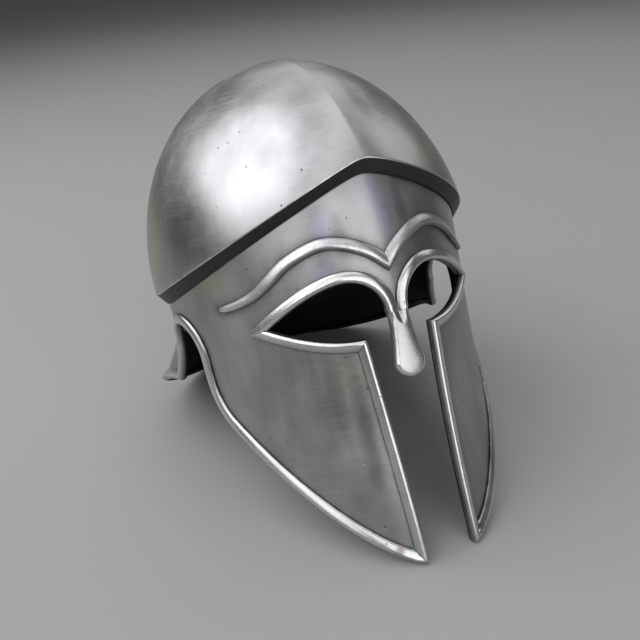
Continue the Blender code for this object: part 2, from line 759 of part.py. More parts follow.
def rest_on_floor(touching, carried):
    """Pitch the helmet back until cheek tips and neck guard are level, and set it on z = 0."""
    frame = bpy.data.objects.new("wearing_frame", None)
    bpy.context.collection.objects.link(frame)
    points = np.array([v.co[:] for item in touching for v in item.data.vertices])
    low, high = 0.0, math.pi / 4
    for _ in range(SOLVER_STEPS):
        pitch = 0.5 * (low + high)
        height = points[:, 2] * math.cos(pitch) - points[:, 1] * math.sin(pitch)
        if height[points[:, 1] > 0].min() > height[points[:, 1] < 0].min():
            low = pitch
        else:
            high = pitch
    every = np.array([v.co[:] for item in carried for v in item.data.vertices])
    back = every[:, 1] * math.cos(pitch) + every[:, 2] * math.sin(pitch)
    frame.rotation_euler = (-pitch, 0.0, 0.0)
    frame.location = (0.0, -0.5 * (back.min() + back.max()), -height.min() - WEAR)
    for item in list(bpy.data.objects):
        if item is not frame:
            item.parent = frame


def build():
    clear_scene()
    plate = steel("burnished_steel", STEEL, 0.35)
    bright = steel("bright_bead_steel", BRIGHT_STEEL, 0.28)
    bowl = make_skull_bowl(plate)
    shell = make_shell_blank(plate)
    reach = CUTTER_REACH
    boolean(shell, "DIFFERENCE", make_prism("face_cutter", face_outline(), 1, -reach, 0.0))
    boolean(shell, "DIFFERENCE", make_prism("side_cutter", side_outline(), 0, -reach, reach))
    boolean(shell, "UNION", make_brow_ridges())
    rims = make_rims(bright)
    rest_on_floor([item for item in rims if item.name != "nasal_guard"], rims + [bowl])
    below_floor = [(-reach, -reach), (reach, -reach), (reach, 0.0), (-reach, 0.0)]
    ground = make_prism("floor_cutter", below_floor, 0, -reach, reach)
    for item in rims:
        if item.name.startswith(("front_rim", "lower_rim", "neck_rim")):
            boolean(item, "DIFFERENCE", ground)


build()
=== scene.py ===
# %% [markdown]
# # Italo-Corinthian helmet of burnished steel
#
# A reenactor's helmet stands on its two cheek tips and the foot of its neck guard. It is made of
# two raised sheets, a skull bowl that sits over a face shell, and of strips folded round every
# edge. This lesson loads the measured model as a fixed frame and dresses it with finely divided
# surfaces and worn steel.
#
# The frame comes first: it fixes the place of every piece.

import math

import bpy
import numpy as np
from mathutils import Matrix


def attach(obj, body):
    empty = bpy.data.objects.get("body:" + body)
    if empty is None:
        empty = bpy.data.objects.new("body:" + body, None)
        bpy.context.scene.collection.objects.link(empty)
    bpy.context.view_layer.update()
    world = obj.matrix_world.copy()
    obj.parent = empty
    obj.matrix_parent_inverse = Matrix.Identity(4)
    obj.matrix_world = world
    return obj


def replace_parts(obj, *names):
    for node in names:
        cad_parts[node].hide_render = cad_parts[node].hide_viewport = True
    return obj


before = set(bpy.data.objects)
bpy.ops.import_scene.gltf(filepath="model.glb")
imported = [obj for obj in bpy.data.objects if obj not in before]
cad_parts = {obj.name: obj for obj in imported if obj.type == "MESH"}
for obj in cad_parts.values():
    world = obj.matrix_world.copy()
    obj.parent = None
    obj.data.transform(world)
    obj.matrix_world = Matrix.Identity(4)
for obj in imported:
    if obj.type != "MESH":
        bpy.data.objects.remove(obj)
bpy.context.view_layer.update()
print("nodes:", ", ".join(sorted(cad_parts)))

# %% [markdown]
# ## Wearing frame and resting frame
#
# Armour is easiest to shape as it is worn, upright, with X to the wearer's left, -Y to the front
# and the origin in the middle of the skull at its widest level. Set down on a table, the helmet
# rocks back until its cheek tips and its neck guard both touch. So every surface is worked out in
# the wearing frame, and its points are then turned by one pitch and moved by one step.

# %% From wearing to resting
PITCH = 0.317473
REST_PLACE = np.array([0.0, 0.024968, 0.126960])


def tilt(directions, pitch=PITCH):
    """Turn directions about X from the wearing frame to the resting one, or with -PITCH the other way."""
    c, s = math.cos(pitch), math.sin(pitch)
    x, y, z = np.moveaxis(np.asarray(directions, dtype=float), -1, 0)
    return np.stack([x, c * y + s * z, c * z - s * y], axis=-1)


def rest(points):
    """Place points of the wearing frame where they are when the helmet stands: turned, then moved."""
    return tilt(points) + REST_PLACE


print("pitched back by", round(math.degrees(PITCH), 2), "degrees")

# %% [markdown]
# ## Forms of the two sheets
#
# The bowl is half of a superellipsoid: in plan it is a superellipse, a little pointed in front,
# and going up it shrinks as an ellipse does. A power under 2 in front gives the faint keel that
# runs up the forehead. The face shell uses the same plan, and a smooth profile gives its width and
# front at every level. Both are functions of a turn round the head and a height, which is what a
# numpy grid needs.

# %% Plan and profile
SHEET = 0.0016
SEAT_GAP = 0.0003
BOWL_HALF_WIDTH = 0.108
BOWL_FRONT = 0.138
BOWL_BACK = 0.133
BOWL_HEIGHT = 0.131
BOWL_LEAN = 0.009
FRONT_POWER = 1.8
BACK_POWER = 2.05
KEEL_PROUD = 0.0011
KEEL_WIDTH = 0.011
KEEL_LOW = 0.050
KEEL_FULL = 0.100
KEEL_BACK = 0.040
KEEL_FADE = 0.060
CHEEK_DROP = 0.178
SHELL_INSET = 0.006
NAPE_INSET = 0.021
NAPE_TOP = 0.010
NAPE_BOTTOM = 0.062
FLARE_TOP = 0.032
FLARE_OUT = 0.034
FLARE_POWER = 1.2
FLARE_START = -0.002
FLARE_BLEND = 0.060
GUARD_BACK_DEPTH = 0.084
# Depth is a share of CHEEK_DROP, width of the shell's half width, front of BOWL_FRONT
PROFILE = np.array([
    # depth, width, front
    (-0.35, 1.000, 0.793),
    (-0.21, 1.006, 0.849),
    (0.16, 0.984, 0.907),
    (0.58, 0.974, 0.940),
    (1.00, 0.990, 0.997),
])
PROFILE_END = 1.05
SLOPE_STEP = 1e-4


def ease(t):
    """A share that eases from 0 to 1: 3t^2 - 2t^3."""
    t = np.clip(t, 0.0, 1.0)
    return t * t * (3.0 - 2.0 * t)


def unit(v):
    """Vectors divided by their own length."""
    return v / np.linalg.norm(v, axis=-1, keepdims=True)


def around(theta):
    """Unit superellipse in plan, |sin|^(2/n) across and |cos|^(2/n) along, 0 in front, pi behind."""
    power = np.where(np.abs(theta) <= math.pi / 2, FRONT_POWER, BACK_POWER)
    sine, cosine = np.sin(theta), np.cos(theta)
    across = np.sign(sine) * np.abs(sine) ** (2.0 / power)
    return across, -np.sign(cosine) * np.abs(cosine) ** (2.0 / power)


def bowl_point(theta, z, inset=0.0):
    """Bowl: the plan times sqrt(1 - (z/height)^2), leaning back, plus a keel exp(-|x|/width)."""
    across, along = around(theta)
    share = np.clip(z / (BOWL_HEIGHT - inset), 0.0, 1.0)
    shrink = np.sqrt(1.0 - share ** 2)
    depth = np.where(along < 0, BOWL_FRONT, BOWL_BACK) - inset
    x = (BOWL_HALF_WIDTH - inset) * across * shrink
    y = BOWL_LEAN * share + depth * along * shrink
    point = np.stack([x, y, z + 0.0 * x], axis=-1)
    keel = KEEL_PROUD * np.exp(-np.abs(x) / KEEL_WIDTH) * ease((KEEL_BACK - y) / KEEL_FADE)
    keel = keel * ease((z - KEEL_LOW) / (KEEL_FULL - KEEL_LOW))
    outward = unit(point / np.array([BOWL_HALF_WIDTH, BOWL_FRONT, BOWL_HEIGHT]) ** 2)
    return point + keel[..., None] * outward


def profile(column, z):
    """The profile table read as one polynomial through all its rows."""
    curve = np.polyfit(PROFILE[:, 0], PROFILE[:, column], len(PROFILE) - 1)
    return np.polyval(curve, np.clip(-z / CHEEK_DROP, PROFILE[0, 0], PROFILE_END))


def shell_point(theta, z, inset=0.0):
    """Face shell: the plan times its profile, drawn in at the nape and flared at the guard."""
    across, along = around(theta)
    half = (BOWL_HALF_WIDTH - SHELL_INSET) * profile(1, z) - inset
    front = BOWL_FRONT * profile(2, z) - inset
    nape = ease((-z - NAPE_TOP) / (NAPE_BOTTOM - NAPE_TOP))
    back = BOWL_BACK - SHELL_INSET - (NAPE_INSET - SHELL_INSET) * nape - inset
    x = half * across
    y = np.where(along < 0, front, back) * along
    fall = np.clip((-z - FLARE_TOP) / (GUARD_BACK_DEPTH - FLARE_TOP), 0.0, None) ** FLARE_POWER
    flare = FLARE_OUT * fall * ease((y - FLARE_START) / FLARE_BLEND)
    stretch = 1.0 + flare / np.maximum(np.hypot(x, y), SHEET)
    return np.stack([x * stretch, y * stretch, z + 0.0 * x], axis=-1)


def shell_normal(theta, z):
    """Outward direction: the slope round the shell crossed with the slope up it."""
    round_it = shell_point(theta + SLOPE_STEP, z) - shell_point(theta - SLOPE_STEP, z)
    up_it = shell_point(theta, z + SLOPE_STEP) - shell_point(theta, z - SLOPE_STEP)
    return unit(np.cross(round_it, up_it))


FOREMOST = float(shell_point(0.0, -CHEEK_DROP)[1])

print("bowl is", 2000 * BOWL_HALF_WIDTH, "mm wide and", 1000 * BOWL_HEIGHT, "mm high over its widest level")

# %% [markdown]
# ## Grids into meshes
#
# A grid of points becomes quads by pairing each point with its neighbours, as whole arrays. One
# helper puts points, faces and named values per point into a mesh object. The named values,
# such as how near a point is to an edge, are read by the steel later on.

# %% Mesh helpers
pieces = []
# foot marks dirt mixed with painted shade, crest a painted highlight mixed with wear, bevel painted shade
MARKS = ("foot", "crest", "within", "bevel")


def placed(name, data):
    """A new object in the scene that holds this data."""
    item = bpy.data.objects.new(name, data)
    bpy.context.collection.objects.link(item)
    return item


def ring_quads(rows, columns, closed=True):
    """Quads between rows of a grid: (r,c), (r,c+1), (r+1,c+1), (r+1,c); closed joins the columns."""
    index = np.arange(rows * columns).reshape(rows, columns)
    if closed:
        index = np.concatenate([index, index[:, :1]], axis=1)
    return np.stack([index[:-1, :-1], index[:-1, 1:], index[1:, 1:], index[1:, :-1]], -1).reshape(-1, 4)


def make_piece(name, points, faces, marks, sharp=40.0):
    """A mesh object from points in the wearing frame, face lists and per-point marks, 0 if not given."""
    mesh = bpy.data.meshes.new(name)
    mesh.from_pydata(rest(points), [], faces)
    for label in MARKS:
        numbers = np.zeros(len(points), dtype=np.float32)
        numbers[:] = marks.get(label, 0.0)
        mesh.attributes.new(label, "FLOAT", "POINT").data.foreach_set("value", numbers)
    mesh.shade_smooth()
    mesh.set_sharp_from_angle(angle=math.radians(sharp))
    pieces.append(placed(name, mesh))
    print(name, "has", sum(len(f) - 2 for f in faces), "triangles")
    return pieces[-1]


# %% [markdown]
# ## Skull bowl
#
# The bowl is raised from one disc. Over the forehead its edge is turned in to a flat bevelled
# step, whose upper line is two slanting planes meeting in a rounded peak. The narrow bevel faces
# down and is painted dark as painted shade. Rings are carried from the top down the outside,
# over the rounded arris, along the bevel and back up inside.

# %% Step line and bowl
STEP_PEAK = 0.0555
STEP_SIDE_SLOPE = 0.36
STEP_BACK_SLOPE = 0.177
STEP_PEAK_RADIUS = 0.006
STEP_BACK_DEPTH = 0.008
STEP_BACK_POWER = 5
STEP_DROP = 0.009
STEP_EDGE = 0.0026
STEP_INNER_LIFT = 0.0005
ARRIS = 0.0009
ARRIS_RINGS = 5
BEVEL_RINGS = 6
SOLVER_STEPS = 40


def step_height(theta):
    """Height of the step's upper line: peak less slopes times the distances out and back."""
    turn = np.abs(theta)
    front_turn = np.minimum(turn, math.pi / 2)
    peak_y = float(bowl_point(0.0, STEP_PEAK)[1])
    z = STEP_PEAK + 0.0 * front_turn
    for _ in range(SOLVER_STEPS):
        p = bowl_point(front_turn, z)
        rounded = np.sqrt(p[..., 0] ** 2 + STEP_PEAK_RADIUS ** 2) - STEP_PEAK_RADIUS
        z = STEP_PEAK - STEP_SIDE_SLOPE * rounded - STEP_BACK_SLOPE * (p[..., 1] - peak_y)
    behind = np.clip(turn / (math.pi / 2) - 1.0, 0.0, 1.0)
    return z - (z + STEP_BACK_DEPTH) * (1.0 - (1.0 - behind) ** STEP_BACK_POWER)


def bend(a, corner, b, count):
    """Points or rings on the quadratic curve from a to b that is pulled towards the corner."""
    t = np.linspace(0.0, 1.0, count).reshape((-1,) + (1,) * np.ndim(a))
    return (1 - t) ** 2 * a + 2 * t * (1 - t) * corner + t ** 2 * b


def make_bowl(columns=384, rows=76):
    """Rings by height share sin(t) outside, a bevel, a rounded edge, and the same rings inside."""
    theta = np.linspace(-math.pi, math.pi, columns, endpoint=False)
    upper = step_height(theta)
    lower = upper - STEP_DROP
    shares = np.sin(np.linspace(1.0, 0.0, rows + 1)[1:] * math.pi / 2)[:, None]
    outside = bowl_point(theta[None], upper + ARRIS + (BOWL_HEIGHT - upper - ARRIS) * shares)
    arris = bowl_point(theta, upper)
    foot = shell_point(theta, lower, -SEAT_GAP)
    down = unit(foot - arris)
    turn_in = bend(outside[-1], arris, arris + ARRIS * down, ARRIS_RINGS + 1)[1:]
    facet = np.linspace(0.0, 1.0, BEVEL_RINGS + 2)[1:-1, None, None]
    bevel = turn_in[-1] + (foot - ARRIS * down - turn_in[-1]) * facet
    lip = shell_point(theta, lower + STEP_EDGE, -SEAT_GAP)
    turn_under = bend(bevel[-1], foot, lip, ARRIS_RINGS + 1)[1:]
    top = BOWL_HEIGHT - SHEET
    start = upper + STEP_INNER_LIFT
    inside = bowl_point(theta[None], start + (top - start) * shares[::-1], SHEET)
    rings = np.concatenate([outside, turn_in, bevel, turn_under, inside])
    count = len(rings)
    points = np.concatenate([rings.reshape(-1, 3), bowl_point(0.0, BOWL_HEIGHT)[None],
                             bowl_point(0.0, top, SHEET)[None]])
    column = np.arange(columns)
    after = (column + 1) % columns
    last = (count - 1) * columns
    crown = np.stack([0 * column + count * columns, after, column], -1)
    ceiling = np.stack([0 * column + count * columns + 1, last + column, last + after], -1)
    faces = ring_quads(count, columns).tolist() + crown.tolist() + ceiling.tolist()
    row = np.arange(count) - rows
    under = ARRIS_RINGS + BEVEL_RINGS + ARRIS_RINGS
    # bevel marks the down-facing bevel, which is painted dark: painted shade.
    by_ring = {"bevel": (row >= ARRIS_RINGS - 2) & (row < under), "within": row >= under - 2,
               # crest paints the rounded arris lighter: a painted highlight.
               "crest": np.exp(-((row - 1.5) / 1.6) ** 2)}
    marks = {label: np.append(np.repeat(numbers, columns), [0, label == "within"])
             for label, numbers in by_ring.items()}
    return make_piece("raised_bowl", points, faces, marks, 30.0)


raised_bowl = make_bowl()

# %% [markdown]
# ## Face shell
#
# The face and the neck guard are one deep sheet with two eyes, a slot between the cheeks and a
# notch for each ear sawn out. Here the whole sheet is a grid, and every cell whose middle lies in
# an opening is left out. The edge that this leaves is ragged by about a millimetre, and it is
# hidden inside the folded strips, just as a real saw cut is. Small walls then join the outer and
# the inner face round every opening.

# %% Outlines of the openings
EYE_CORNER_DEPTH = 0.0287
EYE_CORNER_X = 0.0683
EYE_ARCH_X = 0.0265
EYE_ARCH_RISE = 0.0217
EYE_ARCH_POWER = 1.8
EYE_LOWER_DROP = 0.0148
EYE_INNER_X = 0.022
SLOT_HALF_WIDTH = 0.017
SLOT_POWER = 1.75
JAW_START_BACK = 0.0032
JAW_START_RISE = 0.0023
JAW_END_DEPTH = 0.0762
JAW_HOLLOW = 0.003
JAW_CORNER_RUN = 0.021
EAR_Y = -0.011
EAR_RADIUS = 0.023
EAR_TOP_DEPTH = 0.022
EAR_REAR_LEAN = 0.009
GUARD_CORNER_DEPTH = 0.0656
GUARD_FOOT_HALF = 0.045


def eye_arch(count):
    """Over the eye, front view: a power curve from the outer corner, then a quarter circle."""
    out = np.linspace(1.0, 0.0, count)
    turn = np.linspace(0.0, math.pi / 2, count // 2 + 1)[1:]
    x = np.concatenate([EYE_ARCH_X + (EYE_CORNER_X - EYE_ARCH_X) * out,
                        EYE_ARCH_X - EYE_ARCH_RISE * np.sin(turn)])
    z = np.concatenate([EYE_ARCH_RISE * (1.0 - out ** EYE_ARCH_POWER), EYE_ARCH_RISE * np.cos(turn)])
    return x, z - EYE_CORNER_DEPTH


def eye_lower(count):
    """Under the eye, front view: a half parabola from the slot out to the eye's corner."""
    out = np.linspace(0.0, 1.0, count)
    x = EYE_INNER_X + (EYE_CORNER_X - EYE_INNER_X) * out
    return x, -EYE_CORNER_DEPTH - EYE_LOWER_DROP * (1.0 - out ** 2)


def slot_half(z):
    """Half width of the slot: its narrow width plus a power of the share of the way up."""
    top = -EYE_CORNER_DEPTH - EYE_LOWER_DROP
    up = np.clip((z + CHEEK_DROP) / (top + CHEEK_DROP), 0.0, 1.0)
    return SLOT_HALF_WIDTH + (EYE_INNER_X - SLOT_HALF_WIDTH) * up ** SLOT_POWER


def jaw_line(count):
    """Jaw in side view: a chord with a parabola's hollow, bent up into the ear notch."""
    start = np.array([FOREMOST + JAW_START_BACK, JAW_START_RISE - CHEEK_DROP])
    corner = np.array([EAR_Y - EAR_RADIUS, -JAW_END_DEPTH])
    chord = corner - start
    rise = unit(np.array([-chord[1], chord[0]]))
    share = np.linspace(0.0, 1.0, 8 * count)[:, None]
    line = start + chord * share + 4.0 * JAW_HOLLOW * share * (1.0 - share) * rise
    kept = line[np.linalg.norm(line - corner, axis=1) > JAW_CORNER_RUN]
    kept = kept[np.linspace(0, len(kept) - 1, count).round().astype(int)]
    end = corner + np.array([0.0, JAW_CORNER_RUN])
    return np.concatenate([kept, bend(kept[-1], corner, end, count // 3)[1:]])


def ear_line(count):
    """Ear notch in side view: half a circle, then a line down to the guard's corner."""
    turn = np.linspace(math.pi, 0.0, count)
    arch = np.stack([EAR_Y + EAR_RADIUS * np.cos(turn),
                     -EAR_TOP_DEPTH - EAR_RADIUS + EAR_RADIUS * np.sin(turn)], axis=1)
    foot = np.array([EAR_Y + EAR_RADIUS + EAR_REAR_LEAN, -GUARD_CORNER_DEPTH])
    return np.concatenate([arch, arch[-1] + (foot - arch[-1]) * np.linspace(0, 1, count // 2)[1:, None]])


def guard_height(theta):
    """Neck guard's edge: on the floor line behind, then easing up to its corner at the ear."""
    back_y = float(shell_point(math.pi, -GUARD_BACK_DEPTH)[1])
    slope = (CHEEK_DROP - GUARD_BACK_DEPTH) / (back_y - FOREMOST)
    reach = GUARD_FOOT_HALF / (BOWL_HALF_WIDTH - NAPE_INSET + FLARE_OUT)
    foot_y = back_y * (1.0 - reach ** BACK_POWER) ** (1.0 / BACK_POWER)
    corner_y = EAR_Y + EAR_RADIUS + EAR_REAR_LEAN
    foot_z = -GUARD_BACK_DEPTH - slope * (back_y - foot_y)
    z = -GUARD_BACK_DEPTH + 0.0 * theta
    for _ in range(SOLVER_STEPS):
        y = shell_point(theta, z)[..., 1]
        share = np.clip((foot_y - y) / (foot_y - corner_y), 0.0, None)
        rising = foot_z - (foot_z + GUARD_CORNER_DEPTH) * ease(share)
        z = np.where(y > foot_y, -GUARD_BACK_DEPTH - slope * (back_y - y), rising)
    return z


def theta_for_x(x, z):
    """Turn at which the front of the shell has this x: the plan's formula turned round."""
    half = (BOWL_HALF_WIDTH - SHELL_INSET) * profile(1, z)
    return np.arcsin(np.clip(x / half, 0.0, 1.0) ** (FRONT_POWER / 2.0))


def halving(low, high, short_of):
    """Where short_of stops holding between low and high: the bracket is halved again and again."""
    for _ in range(SOLVER_STEPS):
        middle = 0.5 * (low + high)
        short = short_of(middle)
        low, high = np.where(short, middle, low), np.where(short, high, middle)
    return 0.5 * (low + high)


def theta_for_y(y, z):
    """Turn at which the shell's left side has this y."""
    return halving(0.0 * (y + z), math.pi, lambda theta: shell_point(theta, z)[..., 1] < y)


def inside_outline(across, up, outline):
    """True inside a closed outline: a level ray crosses its edges an odd number of times."""
    a, b = outline, np.roll(outline, -1, axis=0)
    spans = (a[:, 1] > up[..., None]) != (b[:, 1] > up[..., None])
    rise = np.where(a[:, 1] == b[:, 1], 1.0, b[:, 1] - a[:, 1])
    crossing = a[:, 0] + (up[..., None] - a[:, 1]) * (b[:, 0] - a[:, 0]) / rise
    return (spans & (across[..., None] < crossing)).sum(axis=-1) % 2 == 1


print("eye opening is", round(1000 * (EYE_CORNER_X - EYE_INNER_X), 1), "mm from corner to slot")

# %% Face shell grid
LAP = 0.002
LAP_CLEARANCE = 0.0025
BLANK_DROP = 1.04 * CHEEK_DROP
SLOT_CUT_DROP = 1.2 * CHEEK_DROP
CUTTER_DROP = 0.3
CUTTER_AHEAD = 0.02
DIRT_AND_SHADE_REACH = 0.0048
side_edge = np.concatenate([jaw_line(40), ear_line(32)])


def front_outline():
    """Half of both eyes and the slot as one closed outline in front view, then its mirror."""
    arch = np.stack(eye_arch(60), axis=1)[::-1]
    under = np.stack(eye_lower(40), axis=1)[::-1]
    z = np.linspace(under[-1, 1], -SLOT_CUT_DROP, 40)[1:]
    left = np.concatenate([arch, under[1:], np.stack([slot_half(z), z], axis=1)])
    return np.concatenate([left, left[::-1] * np.array([-1.0, 1.0])])


def side_outline():
    """What is cut away under the jaw and at the ear, closed well below the helmet."""
    first = side_edge[0] - CUTTER_AHEAD * unit(side_edge[1] - side_edge[0])
    return np.concatenate([[first], side_edge, [(side_edge[-1, 0], -CUTTER_DROP), (first[0], -CUTTER_DROP)]])


def distance_to(points, curve):
    """Distance from each point of a grid to the nearest of a curve's points, row by row."""
    return np.stack([np.linalg.norm(row[:, None] - curve[None], axis=-1).min(axis=1) for row in points])


def make_face(edges, columns=432, rows=128):
    """Outer and inner grids of the shell, less the openings, joined by walls at every edge."""
    theta = np.linspace(-math.pi, math.pi, columns, endpoint=False)
    upper = step_height(theta)
    ear = theta_for_y(np.array(EAR_Y), np.array(-GUARD_CORNER_DEPTH))
    bottom = np.where(np.abs(theta) > ear, guard_height(np.abs(theta)), -BLANK_DROP)
    top = upper - STEP_DROP + STEP_EDGE
    share = np.linspace(0.0, 1.0, rows)[:, None]
    z = bottom + (top - bottom) * share
    lap = SHEET + LAP_CLEARANCE
    outer = np.concatenate([shell_point(theta[None], z), bowl_point(theta, upper + LAP, lap)[None]])
    inner = np.concatenate([shell_point(theta[None], z, SHEET),
                            bowl_point(theta, upper + LAP, lap + SHEET)[None]])
    whole = np.concatenate([outer, outer[:, :1]], axis=1)
    middle = 0.25 * (whole[:-1, :-1] + whole[:-1, 1:] + whole[1:, 1:] + whole[1:, :-1])
    ahead = middle[..., 1] < 0.0
    cut = inside_outline(middle[..., 0], middle[..., 2], front_outline()) & ahead
    cut |= inside_outline(middle[..., 1], middle[..., 2], side_outline())
    kept = ~cut
    index = np.arange(outer.shape[0] * columns).reshape(-1, columns)
    right = np.roll(index, -1, axis=1)
    a, b, c, d = index[:-1], right[:-1], right[1:], index[1:]
    lift = index.size
    faces = [np.stack([a, b, c, d], -1)[kept], np.stack([d, c, b, a], -1)[kept] + lift]
    beside = np.roll(kept, -1, axis=1)
    before = np.roll(kept, 1, axis=1)
    over = np.concatenate([kept[1:], np.zeros((1, columns), bool)])
    under = np.concatenate([np.zeros((1, columns), bool), kept[:-1]])
    for start, end, neighbour in ((b, c, beside), (c, d, over), (d, a, before), (a, b, under)):
        wall = kept & ~neighbour
        faces.append(np.stack([end[wall], start[wall], start[wall] + lift, end[wall] + lift], -1))
    faces = np.concatenate(faces)
    points = np.concatenate([outer.reshape(-1, 3), inner.reshape(-1, 3)])
    # Shell points near beads, rims and ridges are painted darker: painted shade mixed with dirt.
    near = np.exp(-(distance_to(outer, edges) / DIRT_AND_SHADE_REACH) ** 2).ravel()
    marks = {"within": np.repeat([0.0, 1.0], index.size), "foot": np.tile(near, 2)}
    used = np.unique(faces)
    place = np.zeros(len(points), int)
    place[used] = np.arange(len(used))
    marks = {label: numbers[used] for label, numbers in marks.items()}
    return make_piece("face_plate", points[used], place[faces].tolist(), marks, 50.0)


# %% [markdown]
# ## Brow ridges
#
# The brows are raised from behind and chased round from the front, so they have a soft upper
# slope and a crisp foot. Their foot and lower side are painted dark, as painted shade mixed with
# dirt. A table of places is read as a smooth curve, and a half-round profile with a slight crest
# is carried along it over the shell's own surface.

# %% Curves over the surface
BROW_SPAN = 0.084
BROW_LOW_DEPTH = 0.0135
BROW_RISE = 0.0282
BROW_WIDTH = 0.0078
BROW_PROUD = 0.003
BROW_LEAN = 0.4
BROW_ROOT = 0.0008
BROW_CREST = 0.2
BROW = np.array([
    # x, rise, size
    (1.000, 0.00, 0.30),
    (0.975, 0.00, 0.55),
    (0.905, 0.07, 0.70),
    (0.810, 0.23, 0.85),
    (0.714, 0.49, 1.00),
    (0.619, 0.74, 1.00),
    (0.500, 0.92, 1.00),
    (0.380, 1.00, 1.00),
    (0.262, 0.93, 1.00),
    (0.167, 0.80, 1.00),
    (0.083, 0.64, 1.00),
    (0.000, 0.41, 1.00),
])


def smooth_rows(rows, places):
    """Rows of a table read between its lines with Catmull-Rom curves."""
    padded = np.concatenate([2 * rows[:1] - rows[1:2], rows, 2 * rows[-1:] - rows[-2:-1]])
    index = np.minimum(places.astype(int), len(rows) - 2)
    t = (places - index)[:, None]
    a, b, c, d = (padded[index + k] for k in range(4))
    return b + 0.5 * t * (c - a + t * (2 * a - 5 * b + 4 * c - d + t * (3 * (b - c) + d - a)))


def tangents(path):
    """Direction of travel at every point of a path, from its neighbours."""
    return unit(np.gradient(path, axis=0))


def on_shell(x, z):
    """A path on the shell's outer face with its outward normals, from x and z in front view."""
    theta = theta_for_x(x, z)
    return shell_point(theta, z), shell_normal(theta, z)


def mirrored(points):
    """The same points on the wearer's other side."""
    return points * np.array([-1.0, 1.0, 1.0])


def capped(rings):
    """Quads along closed rings and one face over each end; rings is rows, columns, 3."""
    rows, columns = rings.shape[:2]
    first = list(range(columns))[::-1]
    last = list(range((rows - 1) * columns, rows * columns))
    return ring_quads(rows, columns).tolist() + [first, last]


def right_way(rings, faces):
    """Faces turned round if the solid they close has a negative volume."""
    points = rings.reshape(-1, 3)
    a, b, c, d = np.moveaxis(points[np.array(faces[:-2])] - points.mean(axis=0), 1, 0)
    volume = np.sum(a * np.cross(b, c)) + np.sum(a * np.cross(c, d))
    return faces if volume > 0 else [f[::-1] for f in faces]


# %% Brow piece
def make_brows(fine=14, turns=18):
    """Profile sin(t) mixed with 1 - |cos t| for a crest that leans down, along the brow curve."""
    table = smooth_rows(BROW, np.linspace(0.0, len(BROW) - 1.0, fine * (len(BROW) - 1) + 1))
    x = BROW_SPAN * table[:, 0]
    x[-1] = 0.0
    path, normals = on_shell(x, BROW_RISE * table[:, 1] - BROW_LOW_DEPTH)
    along = tangents(path)
    out = unit(np.cross(along, normals))
    size = table[:, 2:]
    turn = np.linspace(0.0, math.pi, turns)
    height = (1.0 - BROW_CREST) * np.sin(turn) + BROW_CREST * (1.0 - np.abs(np.cos(turn)))
    across = np.concatenate([np.cos(turn) - BROW_LEAN * height, [-1.0, 1.0]])
    above = np.concatenate([height, [0.0, 0.0]])
    root = np.concatenate([0.0 * turn, [-BROW_ROOT, -BROW_ROOT]])
    rings = (path[:, None] + out[:, None] * (0.5 * BROW_WIDTH * size * across)[..., None]
             + normals[:, None] * (BROW_PROUD * size * above + root)[..., None])
    slide = rings[-1][:, 0] / along[-1][0]
    rings[-1] = rings[-1] - slide[:, None] * along[-1]
    rings = np.concatenate([rings, mirrored(rings[:-1])[::-1]])
    faces = right_way(rings, capped(rings))
    # foot darkens the ridge's base and its lower side: painted shade mixed with dirt.
    foot = np.clip(1.0 - above / 0.30, 0.0, 1.0) + 0.45 * ease((-0.55 - across) / 0.3) * (above > 0)
    # crest paints the ridge's upper side lighter: a painted highlight.
    marks = {"foot": np.tile(foot, len(rings)), "crest": np.tile(above ** 2 * (across > -0.6), len(rings))}
    piece = make_piece("brow_ridges", rings.reshape(-1, 3), faces, marks, 55.0)
    return piece, np.concatenate([path, mirrored(path)])


brow_ridges, brow_path = make_brows()

# %% [markdown]
# ## Beads round the edges
#
# Every sawn edge is closed with a strip folded over it: outside a bead whose crest is near the
# lip, inside a flat leg. The strip's section is carried along the edge. Where two strips meet they
# are mitred, so whatever runs past the mitre is drawn back along the strip until it lies in the
# mitre's plane.

# %% Strip section and sweep
RIM_COVER = 0.005
RIM_LIP = 0.002
RIM_PROUD = 0.003
RIM_BACK = 0.0013
RIM_CLEARANCE = 0.0005
TIP_NOSE = 0.0028
TIP_SOFT = 0.0022
TIP_REACH = 0.004
STRIP_DIRT_AND_SHADE = 0.0006
MITRE_RUN_ON = 0.006
MITRE_FIRST = 0.0012
MITRE_ROWS = 5
MITRE_REACH = 0.022
UP = np.array([0.0, 0.0, 1.0])
DOWN = -UP
TO_SLOT = np.array([-1.0, 0.0, 0.0])


def strip_section(fine=4):
    """Section as (out past the edge, up from the sheet), a smooth bead and a square inner fold."""
    back = -SHEET - RIM_CLEARANCE
    bead = np.array([
        # out, up
        (-RIM_COVER, RIM_CLEARANCE),
        (-0.95 * RIM_COVER, 0.36 * RIM_PROUD),
        (-0.74 * RIM_COVER, 0.66 * RIM_PROUD),
        (-0.38 * RIM_COVER, 0.90 * RIM_PROUD),
        (-0.05 * RIM_COVER, RIM_PROUD),
        (0.50 * RIM_LIP, 0.84 * RIM_PROUD),
        (0.88 * RIM_LIP, 0.45 * RIM_PROUD),
        (RIM_LIP, -0.3 * SHEET),
        (0.80 * RIM_LIP, back + 0.3 * RIM_BACK),
        (0.35 * RIM_LIP, back - RIM_BACK),
        (-0.60 * RIM_COVER, back - 0.7 * RIM_BACK),
    ])
    curve = smooth_rows(bead, np.linspace(0.0, len(bead) - 1.0, fine * (len(bead) - 1) + 1))
    fold = np.array([(-0.60 * RIM_COVER, back), (RIM_CLEARANCE, back), (RIM_CLEARANCE, RIM_CLEARANCE)])
    return np.concatenate([curve, fold])


SECTION = strip_section()
print("strip section has", len(SECTION), "points")


def end_tangent(path, start):
    """Direction of travel at a path's first point, or at its last."""
    return unit(path[1] - path[0]) if start else unit(path[-1] - path[-2])


